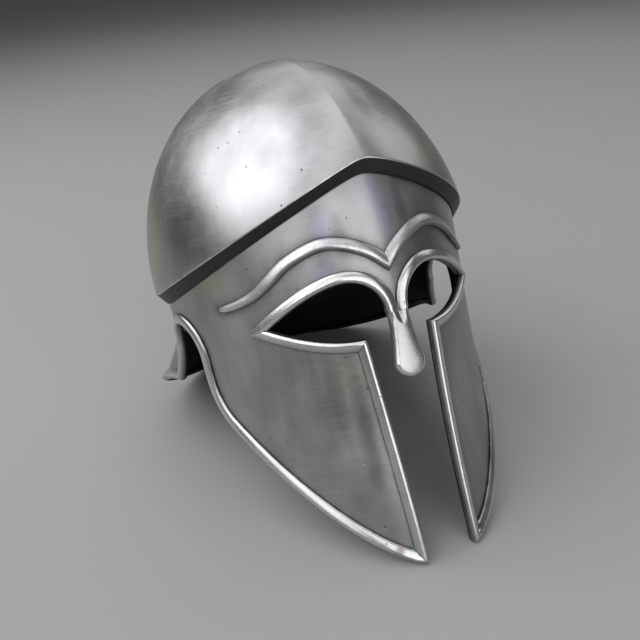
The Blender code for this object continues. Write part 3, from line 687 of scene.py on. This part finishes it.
def sweep_strip(path, normals, opening, start_plane=None, end_plane=None, nose=None, size=None):
    """Path plus out times the section's first column plus up times its second, mitred at the ends.

    A mitred end runs past its corner first. Points beyond the plane slide back along the strip.
    """
    size = np.ones(len(path)) if size is None else size
    planes = []
    for place, plane in ((0, start_plane), (-1, end_plane)):
        if plane is None:
            continue
        inward = end_tangent(path, True) if place == 0 else -end_tangent(path, False)
        direction = plane * np.sign(plane @ inward)
        planes.append((place, path[place] + 0.5 * SEAT_GAP * direction, direction))
        runs = path[place] - inward * np.linspace(MITRE_RUN_ON, MITRE_FIRST, MITRE_ROWS)[:, None]
        order = slice(None, None, 1 if place == 0 else -1)
        added = (runs[order], normals[[place] * MITRE_ROWS], size[[place] * MITRE_ROWS])
        path, normals, size = (np.concatenate([new, old][order])
                               for new, old in zip(added, (path, normals, size)))
    along = tangents(path)
    out = unit(np.cross(along, normals))
    out = out * np.sign(out[0] @ opening)
    up = unit(normals - np.sum(normals * along, axis=1, keepdims=True) * along)
    section = SECTION * size[:, None, None]
    rings = path[:, None] + out[:, None] * section[..., :1] + up[:, None] * section[..., 1:]
    travelled = np.concatenate([[0.0], np.cumsum(np.linalg.norm(np.diff(path, axis=0), axis=1))])
    for place, point, direction in planes:
        near = travelled if place == 0 else travelled[-1] - travelled
        beyond = np.minimum((rings - point) @ direction, 0.0) * (near < MITRE_REACH)[:, None]
        guide = along[MITRE_ROWS + 3] if place == 0 else along[-MITRE_ROWS - 4]
        rings = rings - (beyond / (guide @ direction))[..., None] * guide
    if nose is not None:
        point, direction = nose
        past = (rings - point) @ direction
        softened = 0.5 * (past + np.sqrt(past ** 2 + TIP_SOFT ** 2))
        rings = rings + np.where(past < TIP_REACH, softened - past, 0.0)[..., None] * direction
    return rings


def strip_values(rows):
    """Per-point marks of a strip: near its foot on the sheet, on its crest, and on its inner leg."""
    out, up = SECTION.T
    # foot paints a dark line where the bead meets the sheet and darkens its steep outer side: painted shade
    # mixed with dirt.
    foot = np.clip(1.0 - (out + RIM_COVER) / STRIP_DIRT_AND_SHADE, 0.0, 1.0) * (up > 0)
    foot = foot + 0.5 * ease((out - 0.6 * RIM_LIP) / (0.4 * RIM_LIP)) * ease(1.0 - up / RIM_PROUD)
    # crest paints the bead's top lighter: a painted highlight mixed with rubbed wear.
    crest = np.clip(up / RIM_PROUD, 0.0, 1.0) ** 6
    within = (up < -SHEET).astype(float)
    marks = {"foot": foot, "crest": crest, "within": within}
    return {label: np.tile(numbers, rows) for label, numbers in marks.items()}


def settle(rings):
    """Points that would sink below the floor are worn flat at floor level."""
    lift = np.maximum(-rest(rings)[..., 2], 0.0)
    return rings + lift[..., None] * tilt(UP, -PITCH)


def make_bead(name, rings):
    """A strip as a piece: capped rings turned the right way, worn where it stands."""
    rings = settle(rings)
    faces = right_way(rings, capped(rings))
    return make_piece(name, rings.reshape(-1, 3), faces, strip_values(len(rings)), 40.0)


# %% Edge paths and their corners
arch_x, arch_z = eye_arch(64)
under_x, under_z = eye_lower(56)
arch, arch_n = on_shell(arch_x, arch_z)
under, under_n = on_shell(under_x, under_z)


def tip_height():
    """Height at which the slot's edge meets the jaw."""
    def under_jaw(z):
        y = shell_point(theta_for_x(slot_half(z), z), z)[1]
        return z < np.interp(y, side_edge[:40, 0], side_edge[:40, 1])
    return float(halving(-PROFILE_END * CHEEK_DROP, -0.8 * CHEEK_DROP, under_jaw))


tip_z = tip_height()
front_z = np.linspace(tip_z, under_z[0], 90)
front, front_n = on_shell(slot_half(front_z), front_z)

inside = side_edge[side_edge[:, 1] > tip_z + SHEET]
side_theta = theta_for_y(inside[:, 0], inside[:, 1])
side_z = inside[:, 1].copy()
for _ in range(SOLVER_STEPS):
    side_z[-1] = guard_height(side_theta[-1:])[0]
    side_theta[-1] = theta_for_y(inside[-1:, 0], side_z[-1:])[0]
jaw = np.concatenate([front[:1], shell_point(side_theta, side_z)])
jaw_n = np.concatenate([front_n[:1], shell_normal(side_theta, side_z)])

neck_theta = np.linspace(side_theta[-1], 2 * math.pi - side_theta[-1], 181)
folded = np.where(neck_theta > math.pi, neck_theta - 2 * math.pi, neck_theta)
neck_z = guard_height(np.abs(folded))
neck, neck_n = shell_point(folded, neck_z), shell_normal(folded, neck_z)

eye_outer = unit(end_tangent(under, False) + end_tangent(arch, True))
eye_inner = unit(end_tangent(front, False) + end_tangent(under, True))
tip_plane = unit(end_tangent(jaw, True) - end_tangent(front, True))
guard_corner = unit(end_tangent(jaw, False) + end_tangent(neck, True))
tip_ahead = -unit(end_tangent(jaw, True) + end_tangent(front, True))
tip_nose = (front[0] + TIP_NOSE * tip_ahead, -tip_ahead)
print("cheek tip is", round(1000 * (tip_z + CHEEK_DROP), 1), "mm above the lowest level")

# %% Beads left and right
strips = {
    "eye_bead": sweep_strip(under, under_n, UP, eye_inner, eye_outer),
    "front_bead": sweep_strip(front, front_n, TO_SLOT, tip_plane, eye_inner, tip_nose),
    "jaw_bead": sweep_strip(jaw, jaw_n, DOWN, tip_plane, guard_corner, tip_nose),
}
stands_for = {"eye_bead": "eye_rim", "front_bead": "front_rim", "jaw_bead": "lower_rim"}
for name, rings in strips.items():
    for side, shape in (("left", rings), ("right", mirrored(rings))):
        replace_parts(make_bead(name + "_" + side, shape), stands_for[name] + "_" + side)
neck_bead = make_bead("neck_bead", sweep_strip(neck, neck_n, DOWN, guard_corner, mirrored(guard_corner)))
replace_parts(neck_bead, "neck_rim")

# %% [markdown]
# ## Nose guard
#
# The strips over both eyes run down beside the bridge and are welded into one plate, which is
# filed to a waist and a round bulb and chamfered along its edge. The plate is an outline with
# rings inside it: back, side, chamfer, and a face that swells a little to the middle line. At its
# top the face sinks into a groove between the two strips.

# %% Nose plate and eye arches
NASAL_BULB_RADIUS = 0.0095
NASAL_BULB_DEPTH = 0.059
NASAL_WAIST = 0.0059
NASAL_WAIST_DEPTH = 0.036
NASAL_WAIST_POWER = 1.8
NASAL_PROUD = 0.0028
NASAL_TIP_FORWARD = 0.0035
NASAL_THICKNESS = 0.0055
NASAL_CHAMFER = 0.0018
NASAL_TOP = -EYE_CORNER_DEPTH
NASAL_BULB = -NASAL_BULB_DEPTH
PLATE_ABOVE = 0.003
GROOVE_FOOT = 0.0385
GROOVE_RUN = 0.0085
SINK_FOOT = 0.038
SINK_RUN = 0.009
SINK_FACE = 0.0003
SINK_SIDE = 0.0009
SWELL = 0.0004
TAIL_RUN = 0.005


def nasal_half(z):
    """Half width of the nose plate: the waist, widening by powers to the bridge and the bulb."""
    share = np.clip((z - NASAL_BULB) / (NASAL_TOP - NASAL_BULB), 0.0, 1.0)
    above = np.clip((z + NASAL_WAIST_DEPTH) / (NASAL_TOP + NASAL_WAIST_DEPTH), 0.0, 1.0)
    bridge = EYE_ARCH_X - EYE_ARCH_RISE + RIM_LIP
    waist = NASAL_WAIST + (NASAL_BULB_RADIUS - NASAL_WAIST) * (1.0 - share) ** NASAL_WAIST_POWER
    return waist + (bridge - NASAL_WAIST) * above ** 2


def nasal_front(z):
    """Depth of the plate's face: proud of the bridge, and moving forward with depth."""
    start = float(shell_point(0.0, NASAL_TOP)[1]) - NASAL_PROUD
    return start - NASAL_TIP_FORWARD * np.clip((NASAL_TOP - z) / (NASAL_TOP - NASAL_BULB), 0.0, None)


def nasal_groove(z):
    """Share of the groove between the two strips that is left at a height, easing out downwards."""
    return ease((z + GROOVE_FOOT) / GROOVE_RUN)


def nasal_outline(count=64):
    """Outline in front view: down the left side, half a circle round the bulb, up the right."""
    z = np.linspace(NASAL_TOP + PLATE_ABOVE, NASAL_BULB, count)
    turn = np.linspace(0.0, math.pi, count // 2)[1:-1]
    bulb = np.stack([NASAL_BULB_RADIUS * np.cos(turn), NASAL_BULB - NASAL_BULB_RADIUS * np.sin(turn)], axis=1)
    side = np.stack([nasal_half(z), z], axis=1)
    return np.concatenate([side, bulb, side[::-1] * np.array([-1.0, 1.0])])


def nasal_rings():
    """Closed rings of (x, y, z), each the outline drawn in by some amount and set at some depth."""
    line = nasal_outline()
    slope = unit(np.gradient(line, axis=0))
    inward = np.stack([slope[:, 1], -slope[:, 0]], axis=1)
    inward = inward * np.sign(-inward[0, 0] * line[0, 0])
    steps = [
        # drawn in, set back from the face
        (0.0012, NASAL_THICKNESS), (0.0002, NASAL_THICKNESS - 0.0003), (0.0, NASAL_THICKNESS - 0.0014),
        (0.0, NASAL_CHAMFER + 0.0003), (0.00015, NASAL_CHAMFER), (0.55 * NASAL_CHAMFER, 0.00065),
        (NASAL_CHAMFER - 0.0002, 0.0002), (NASAL_CHAMFER + 0.0002, 0.0), (NASAL_CHAMFER + 0.0012, -0.0002),
    ]
    rings = []
    for drawn, back in steps:
        xz = line + inward * drawn
        sunk = (SINK_FACE if back < NASAL_CHAMFER + 0.0002 else SINK_SIDE)
        sunk = sunk * ease((xz[:, 1] + SINK_FOOT) / SINK_RUN)
        rings.append(np.stack([xz[:, 0], nasal_front(xz[:, 1]) + back + sunk, xz[:, 1]], axis=1))
    spine_z = np.clip(line[:, 1], NASAL_BULB, NASAL_TOP + PLATE_ABOVE)
    for share, depth in ((0.45, 0.0013), (0.0, 0.0023)):
        x = share * rings[-1][:, 0]
        z = spine_z + (rings[len(steps) - 1][:, 2] - spine_z) * share
        rings.append(np.stack([x, nasal_front(z) - SWELL + depth * nasal_groove(z), z], axis=1))
    behind = np.stack([0.0 * spine_z, nasal_front(spine_z) + NASAL_THICKNESS, spine_z], axis=1)
    return np.stack([behind] + rings)


def arch_with_tail():
    """Eye arch run on down the plate's edge, growing thinner as it sinks into the plate."""
    run = np.linspace(0.0, 1.0, 22)[1:]
    z = arch_z[-1] - TAIL_RUN * run
    size = 1.0 - 0.15 * ease(run)
    x = nasal_half(z) - RIM_LIP * size - 0.0002 * ease(2 * run)
    y = nasal_front(z) + RIM_PROUD + 0.0005 * ease(run)
    y = y + (arch[-1, 1] - nasal_front(arch_z[-1]) - RIM_PROUD) * (1.0 - ease(3 * run))
    tail = np.stack([x, y, z], axis=1)
    tail_n = unit(arch_n[-1] + (np.array([0.0, -1.0, 0.0]) - arch_n[-1]) * ease(2 * run)[:, None])
    sizes = np.concatenate([np.ones(len(arch)), size])
    return np.concatenate([arch, tail]), np.concatenate([arch_n, tail_n]), sizes


def make_nose_guard():
    """Both eye arches and the plate in one mesh, with the marks of each."""
    path, normals, sizes = arch_with_tail()
    left = sweep_strip(path, normals, DOWN, eye_outer, size=sizes)
    plate = nasal_rings()
    points, faces, found_marks, count = [], [], {}, 0
    rim_marks = strip_values(len(left))
    flat = np.zeros(plate.shape[0] * plate.shape[1])
    # The chamfer rings are marked as crest and painted lighter: a painted highlight.
    chamfer = np.repeat(np.isin(np.arange(len(plate)), (5, 6, 7)).astype(float), plate.shape[1])
    plate_marks = {"foot": flat, "crest": chamfer, "within": flat}
    for rings, marks in ((left, rim_marks), (mirrored(left), rim_marks), (plate, plate_marks)):
        found = right_way(rings, capped(rings))
        if rings is plate:
            found = found[:-2]
        faces += [[corner + count for corner in face] for face in found]
        points.append(rings.reshape(-1, 3))
        count += len(points[-1])
        for label, numbers in marks.items():
            found_marks.setdefault(label, []).append(numbers)
    found_marks = {label: np.concatenate(numbers) for label, numbers in found_marks.items()}
    return make_piece("nose_guard", np.concatenate(points), faces, found_marks, 35.0)


nose_guard = make_nose_guard()
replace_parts(nose_guard, "nasal_guard")

one_side = np.concatenate([arch, under, front, jaw])
face_plate = make_face(np.concatenate([brow_path, one_side, mirrored(one_side)]))
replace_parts(raised_bowl, "skull_bowl")
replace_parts(face_plate, "face_shell")

# %% [markdown]
# ## Steel that has been worked and worn
#
# Burnished steel is a mirror made dull by thousands of fine scratches that run round the helmet.
# It is darkest where the polishing wheel can't reach, inside. It is painted darker at the foot and
# on the lower sides of beads and ridges, as painted shade mixed with dirt, and on the bevel, as
# painted shade, and crests are painted lighter, as a painted highlight mixed with rubbed wear.
# Three shader groups are built once and shared: one for the scratches, pits and soft dents, one for
# what lies at edges, and one for a soft stain at a chosen place.

# %% Node helpers
def principled(name):
    """A new node material and its Principled shader."""
    material = bpy.data.materials.new(name)
    material.use_nodes = True
    return material, material.node_tree.nodes["Principled BSDF"]


def new_group(name, inputs, outputs):
    """An empty shader node group with sockets given as (name, kind) pairs, and its two ends."""
    tree = bpy.data.node_groups.new(name, "ShaderNodeTree")
    for label, kind in inputs:
        tree.interface.new_socket(label, in_out="INPUT", socket_type="NodeSocket" + kind)
    for label, kind in outputs:
        tree.interface.new_socket(label, in_out="OUTPUT", socket_type="NodeSocket" + kind)
    return tree, tree.nodes.new("NodeGroupInput"), tree.nodes.new("NodeGroupOutput")


def put(tree, socket, value):
    """Feed a socket from another socket, or set it to a plain value."""
    if isinstance(value, bpy.types.NodeSocket):
        tree.links.new(value, socket)
    else:
        socket.default_value = value


def new_node(tree, kind, values, **settings):
    """A new shader node with these settings, its first inputs fed with the values."""
    node = tree.nodes.new(kind)
    for label, setting in settings.items():
        setattr(node, label, setting)
    for socket, value in zip(node.inputs, values):
        put(tree, socket, value)
    return node


def calc(tree, operation, *values, clamp=False):
    """A Math node's result."""
    return new_node(tree, "ShaderNodeMath", values, operation=operation, use_clamp=clamp).outputs[0]


def vector_calc(tree, operation, *values):
    """A Vector Math node's result: a length for LENGTH, a vector otherwise."""
    node = new_node(tree, "ShaderNodeVectorMath", values, operation=operation)
    return node.outputs["Value" if operation == "LENGTH" else "Vector"]


def spread(tree, value, low, high, to_low=0.0, to_high=1.0):
    """A smooth step: low becomes to_low and high becomes to_high, eased between."""
    values = (value, low, high, to_low, to_high)
    return new_node(tree, "ShaderNodeMapRange", values, interpolation_type="SMOOTHSTEP").outputs[0]


def blend_colour(tree, share, first, second):
    """Two colours mixed by a share."""
    node = tree.nodes.new("ShaderNodeMix")
    node.data_type = "RGBA"
    put(tree, node.inputs[0], share)
    put(tree, node.inputs[6], first)
    put(tree, node.inputs[7], second)
    return node.outputs[2]


def total(tree, start, *parts):
    """The start plus each (value, share) part's value times its share, as a row of Math nodes."""
    for value, share in parts:
        start = calc(tree, "MULTIPLY_ADD", value, share, start)
    return start


def noise(tree, vector, scale, detail, roughness):
    """A Noise texture's value over a vector. Three scales stretch the pattern along the axes."""
    if isinstance(scale, tuple):
        vector, scale = vector_calc(tree, "MULTIPLY", vector, scale), 1.0
    node = tree.nodes.new("ShaderNodeTexNoise")
    put(tree, node.inputs["Vector"], vector)
    for label, number in (("Scale", scale), ("Detail", detail), ("Roughness", roughness)):
        node.inputs[label].default_value = number
    return node.outputs[0]


# %% Scratches, pits and soft dents
def build_worked_steel():
    """Noise pulled out level for scratches, rare Voronoi dots for pits, wide noise for dents."""
    tree, start, end = new_group(
        "worked_steel", [("Place", "Vector"), ("Brushing", "Float"), ("Pits", "Float"), ("Dents", "Float")],
        [("Shade", "Float"), ("Dull", "Float"), ("Height", "Float")])
    place = start.outputs["Place"]
    long_lines = noise(tree, place, (60.0, 60.0, 1300.0), 4.0, 0.65)
    short_lines = noise(tree, place, (240.0, 240.0, 3200.0), 2.0, 0.6)
    clouds = noise(tree, place, 13.0, 4.0, 0.55)
    cloud_patch = noise(tree, place, (34.0, 34.0, 12.0), 3.0, 0.6)
    dents = noise(tree, place, 30.0, 1.0, 0.4)

    wobble = noise(tree, place, 900.0, 2.0, 0.6)
    shaken = vector_calc(tree, "ADD", place, vector_calc(tree, "MULTIPLY", wobble, (0.0016, 0.0016, 0.0022)))
    dots = new_node(tree, "ShaderNodeTexVoronoi", (shaken,))
    dots.inputs["Scale"].default_value = 400.0
    chance = new_node(tree, "ShaderNodeSeparateColor", (dots.outputs["Color"],))
    clusters = spread(tree, noise(tree, place, 24.0, 2.0, 0.5), 0.50, 0.68)
    rare = calc(tree, "GREATER_THAN", total(tree, chance.outputs[0], (clusters, 0.16)), 0.975)
    size = calc(tree, "MULTIPLY_ADD", calc(tree, "POWER", chance.outputs[1], 2.0), 0.26, 0.11)
    dot = calc(tree, "SUBTRACT", 1.0, calc(tree, "DIVIDE", dots.outputs["Distance"], size), clamp=True)
    pit = calc(tree, "MULTIPLY", calc(tree, "MULTIPLY", spread(tree, dot, 0.0, 0.6), rare),
               start.outputs["Pits"])

    lines = total(tree, -0.5, (long_lines, 0.6), (short_lines, 0.4))
    brushed = calc(tree, "MULTIPLY", lines, start.outputs["Brushing"])
    cloudy = total(tree, -0.5, (clouds, 0.5), (cloud_patch, 0.5))
    shade = total(tree, 1.0, (cloudy, 1.9), (brushed, 0.45))
    put(tree, end.inputs["Shade"], calc(tree, "MULTIPLY", shade, total(tree, 1.0, (pit, -0.8))))
    put(tree, end.inputs["Dull"], total(tree, 0.0, (brushed, 0.35), (cloudy, 0.30)))
    dented = calc(tree, "MULTIPLY", dents, start.outputs["Dents"])
    put(tree, end.inputs["Height"], total(tree, 0.0, (brushed, 0.00002), (dented, 0.0006), (pit, -0.00025)))
    return tree


def build_edge_effects():
    """Dirt mixed with painted shade at the foot of beads, rubbed wear mixed with a painted highlight on
    crests, painted shade on the bevel and a dull inside, as colour and dullness.
    """
    tree, start, end = new_group(
        "edge_effects", [("Colour", "Color"), ("Dull", "Float"), ("Place", "Vector"), ("Foot", "Float"),
                         ("Crest", "Float"), ("Within", "Float"), ("Bevel", "Float")],
        [("Colour", "Color"), ("Dull", "Float")])
    broken = noise(tree, start.outputs["Place"], 160.0, 3.0, 0.6)
    # Dirt mixed with painted shade where the foot mark is set.
    dirt_and_painted_shade = calc(tree, "MULTIPLY", start.outputs["Foot"], spread(tree, broken, 0.25, 0.65, 0.55, 1.0))
    # Rubbed wear mixed with a painted highlight where the crest mark is set.
    wear_and_painted_highlight = calc(tree, "MULTIPLY", start.outputs["Crest"], spread(tree, broken, 0.30, 0.60, 0.25, 0.60))
    colour, dull = start.outputs["Colour"], start.outputs["Dull"]
    for share, tint, duller in (
            # how much of it, its colour, what it adds to the dullness
            # The dark first colour is dirt mixed with painted shade; the light second is rubbed wear mixed
            # with a painted highlight.
            (dirt_and_painted_shade, (0.045, 0.043, 0.040, 1.0), 0.25), (wear_and_painted_highlight, (0.86, 0.86, 0.87, 1.0), -0.06),
            # The bevel's dark colour is painted shade.
            (start.outputs["Bevel"], (0.065, 0.063, 0.060, 1.0), 0.12),
            (start.outputs["Within"], (0.05, 0.048, 0.045, 1.0), 0.22)):
        colour = blend_colour(tree, share, colour, tint)
        dull = total(tree, dull, (share, duller))
    dull.node.use_clamp = True
    put(tree, end.inputs["Colour"], colour)
    put(tree, end.inputs["Dull"], dull)
    return tree


def build_soft_stain():
    """One where a place is at a centre, easing to nothing at a reach, broken up by noise."""
    tree, start, end = new_group(
        "soft_stain", [("Place", "Vector"), ("Centre", "Vector"), ("Reach", "Vector")], [("Mask", "Float")])
    away = vector_calc(tree, "SUBTRACT", start.outputs["Place"], start.outputs["Centre"])
    away = vector_calc(tree, "LENGTH", vector_calc(tree, "DIVIDE", away, start.outputs["Reach"]))
    ragged = total(tree, -0.45, (noise(tree, start.outputs["Place"], 60.0, 3.0, 0.6), 0.9))
    put(tree, end.inputs["Mask"], spread(tree, calc(tree, "ADD", away, ragged), 1.1, 0.25))
    return tree


worked_steel = build_worked_steel()
edge_effects = build_edge_effects()
soft_stain = build_soft_stain()

# %% [markdown]
# The stains of this helmet are placed in the wearing frame: faint blue heat colour in upright
# streaks over the forehead, olive oil varnish at the sides and by the slot, dull grey smears, and
# one spot of rust near a cheek tip. The bead steel is the same material with a lighter colour and
# fewer scratches.

# %% The two steels
OLIVE = (0.44, 0.44, 0.27, 1.0)
BLUE = (0.40, 0.40, 0.56, 1.0)
RUST = (0.13, 0.055, 0.03, 1.0)
SMOKE = (0.15, 0.15, 0.155, 1.0)
STAINS = [
    # colour, centre, reach, strength
    (BLUE, (0.004, -0.118, 0.030), (0.007, 0.03, 0.020), 0.55),
    (BLUE, (-0.030, -0.108, 0.022), (0.008, 0.03, 0.014), 0.50),
    (BLUE, (-0.034, -0.112, -0.003), (0.008, 0.03, 0.008), 0.55),
    (OLIVE, (-0.101, -0.010, 0.030), (0.03, 0.020, 0.045), 0.50),
    (OLIVE, (-0.089, -0.060, 0.004), (0.02, 0.020, 0.014), 0.45),
    (OLIVE, (-0.034, -0.125, -0.062), (0.010, 0.03, 0.014), 0.40),
    (OLIVE, (0.052, -0.100, 0.050), (0.02, 0.03, 0.010), 0.40),
    (OLIVE, (0.045, -0.112, -0.075), (0.006, 0.03, 0.030), 0.40),
    (SMOKE, (-0.031, -0.125, -0.092), (0.006, 0.03, 0.050), 0.65),
    (SMOKE, (-0.042, -0.118, -0.065), (0.006, 0.03, 0.030), 0.45),
    (SMOKE, (0.018, -0.118, 0.030), (0.005, 0.03, 0.020), 0.50),
    (SMOKE, (-0.022, -0.112, 0.016), (0.005, 0.03, 0.016), 0.45),
    (SMOKE, (0.016, -0.090, 0.095), (0.006, 0.03, 0.030), 0.35),
    (RUST, (-0.030, -0.131, -0.166), (0.004, 0.010, 0.0035), 0.75),
]


def wearing_place(tree):
    """Object coordinates turned back into the wearing frame by a Mapping node."""
    coordinates = tree.nodes.new("ShaderNodeTexCoord")
    mapping = tree.nodes.new("ShaderNodeMapping")
    tree.links.new(coordinates.outputs["Object"], mapping.inputs["Vector"])
    mapping.inputs["Location"].default_value = tilt(-REST_PLACE, -PITCH).tolist()
    mapping.inputs["Rotation"].default_value = (PITCH, 0.0, 0.0)
    return mapping.outputs["Vector"]


def shared(tree, group, **values):
    """A placed group with its inputs fed."""
    node = tree.nodes.new("ShaderNodeGroup")
    node.node_tree = group
    for label, value in values.items():
        put(tree, node.inputs[label], value)
    return node.outputs


def steel(name, colour, roughness, brushing, pits, dents, stains):
    """Principled metal whose colour, roughness and bump come from the shared groups."""
    material, shader = principled(name)
    tree = material.node_tree
    shader.inputs["Metallic"].default_value = 1.0
    place = wearing_place(tree)
    worked = shared(tree, worked_steel, Place=place, Brushing=brushing, Pits=pits, Dents=dents)
    tone = [calc(tree, "MULTIPLY", worked["Shade"], part) for part in colour]
    stained = new_node(tree, "ShaderNodeCombineColor", tone).outputs[0]
    for tint, centre, reach, strength in stains:
        mask = shared(tree, soft_stain, Place=place, Centre=centre, Reach=reach)["Mask"]
        stained = blend_colour(tree, calc(tree, "MULTIPLY", mask, strength), stained, tint)
    marks = {}
    for label in MARKS:
        node = new_node(tree, "ShaderNodeAttribute", (), attribute_name=label)
        marks[label.capitalize()] = node.outputs["Fac"]
    dull = calc(tree, "ADD", worked["Dull"], roughness)
    edges = shared(tree, edge_effects, Colour=stained, Dull=dull, Place=place, **marks)
    tree.links.new(edges["Colour"], shader.inputs["Base Color"])
    tree.links.new(edges["Dull"], shader.inputs["Roughness"])
    bump = tree.nodes.new("ShaderNodeBump")
    bump.inputs["Distance"].default_value = 1.0
    tree.links.new(worked["Height"], bump.inputs["Height"])
    tree.links.new(bump.outputs[0], shader.inputs["Normal"])
    return material


sheet_steel = steel("burnished_sheet_steel", (0.36, 0.36, 0.37), 0.36, 1.0, 1.0, 1.0, STAINS)
bead_steel = steel("bright_bead_steel", (0.52, 0.52, 0.53), 0.27, 0.3, 0.8, 0.5, STAINS[-1:])
for piece in pieces:
    sheet = piece in (raised_bowl, face_plate, brow_ridges)
    piece.data.materials.append(sheet_steel if sheet else bead_steel)
    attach(piece, "root")
print(len(pieces), "pieces in two steels")

# %% [markdown]
# ## Table, light and camera
#
# Polished metal shows mostly what is around it, so the studio is part of the finish: one large
# soft light high on the left makes the broad highlight on the dome, weaker ones stand for a
# cloudy sky, and the pale table fills the cheeks from below. The camera stands where the
# photographer did, worked out by matching both halves of the symmetric outline.

# %% Table and lights
FLOOR_REACH = 80.0
LIGHT_AIM = np.array([0.0, 0.0, 0.12])
LIGHTS = [
    # name, azimuth, elevation, distance, size, glow
    ("key_light", -118.0, 46.0, 2.0, 1.9, 2.7),
    ("top_light", 0.0, 88.0, 2.2, 2.2, 1.35),
    ("side_light", -62.0, 34.0, 2.3, 1.9, 1.6),
    ("front_light", 2.0, 25.0, 2.3, 2.2, 1.6),
    ("back_light", 155.0, 45.0, 2.4, 1.8, 1.0),
    ("right_light", 100.0, 33.0, 2.6, 1.4, 1.0),
]


def bearing(azimuth, elevation):
    """Unit direction out to a compass angle and a height, both in radians: azimuth 0 is the front."""
    level = math.cos(elevation)
    return np.array([math.sin(azimuth) * level, -math.cos(azimuth) * level, math.sin(elevation)])


def make_floor():
    """A plain square floor, pale and dull."""
    mesh = bpy.data.meshes.new("floor")
    square = ((-1, -1), (1, -1), (1, 1), (-1, 1))
    mesh.from_pydata([(FLOOR_REACH * x, FLOOR_REACH * y, 0.0) for x, y in square], [], [(0, 1, 2, 3)])
    material, shader = principled("pale_floor")
    shader.inputs["Base Color"].default_value = (0.27, 0.27, 0.27, 1.0)
    shader.inputs["Roughness"].default_value = 0.9
    mesh.materials.append(material)
    return placed("floor", mesh)


def soft_light(name, azimuth, elevation, distance, size, glow):
    """A square area light at a compass angle and height, facing the helmet; glow is its radiance."""
    a, e = math.radians(azimuth), math.radians(elevation)
    data = bpy.data.lights.new(name, "AREA")
    data.shape = "SQUARE"
    data.size = size
    data.energy = glow * math.pi * size ** 2
    light = placed(name, data)
    light.location = LIGHT_AIM + bearing(a, e) * distance
    light.rotation_euler = (math.pi / 2 - e, 0.0, a)


make_floor()
for row in LIGHTS:
    soft_light(*row)
world = bpy.data.worlds.new("studio")
world.use_nodes = True
world.node_tree.nodes["Background"].inputs["Color"].default_value = (0.13, 0.133, 0.14, 1.0)
bpy.context.scene.world = world
bpy.context.scene.view_settings.view_transform = "Standard"

# %% Camera
AZIMUTH, ELEVATION, ROLL = (math.radians(v) for v in (-19.92, 11.21, -12.16))
DISTANCE = 0.61839
TARGET = np.array([0.02836, 0.08114, 0.11124 - CHEEK_DROP])
FOCAL_SHARE = 733.86 / 640.0


def make_camera():
    """Back, right and up from azimuth and elevation, right and up rolled, all carried to the rest."""
    back = bearing(AZIMUTH, ELEVATION)
    level = np.array([math.cos(AZIMUTH), math.sin(AZIMUTH), 0.0])
    upright = np.cross(back, level)
    right = math.cos(ROLL) * level + math.sin(ROLL) * upright
    up = -math.sin(ROLL) * level + math.cos(ROLL) * upright
    matrix = np.eye(4)
    matrix[:3, 0], matrix[:3, 1], matrix[:3, 2] = tilt(right), tilt(up), tilt(back)
    matrix[:3, 3] = rest(TARGET + back * DISTANCE)
    data = bpy.data.cameras.new("camera")
    data.sensor_width = 36.0
    data.lens = FOCAL_SHARE * data.sensor_width
    camera = placed("camera", data)
    camera.matrix_world = matrix.T.tolist()
    bpy.context.scene.camera = camera
    return camera


camera = make_camera()
print("camera is", round(float(camera.matrix_world[2][3]), 3), "m above the floor")
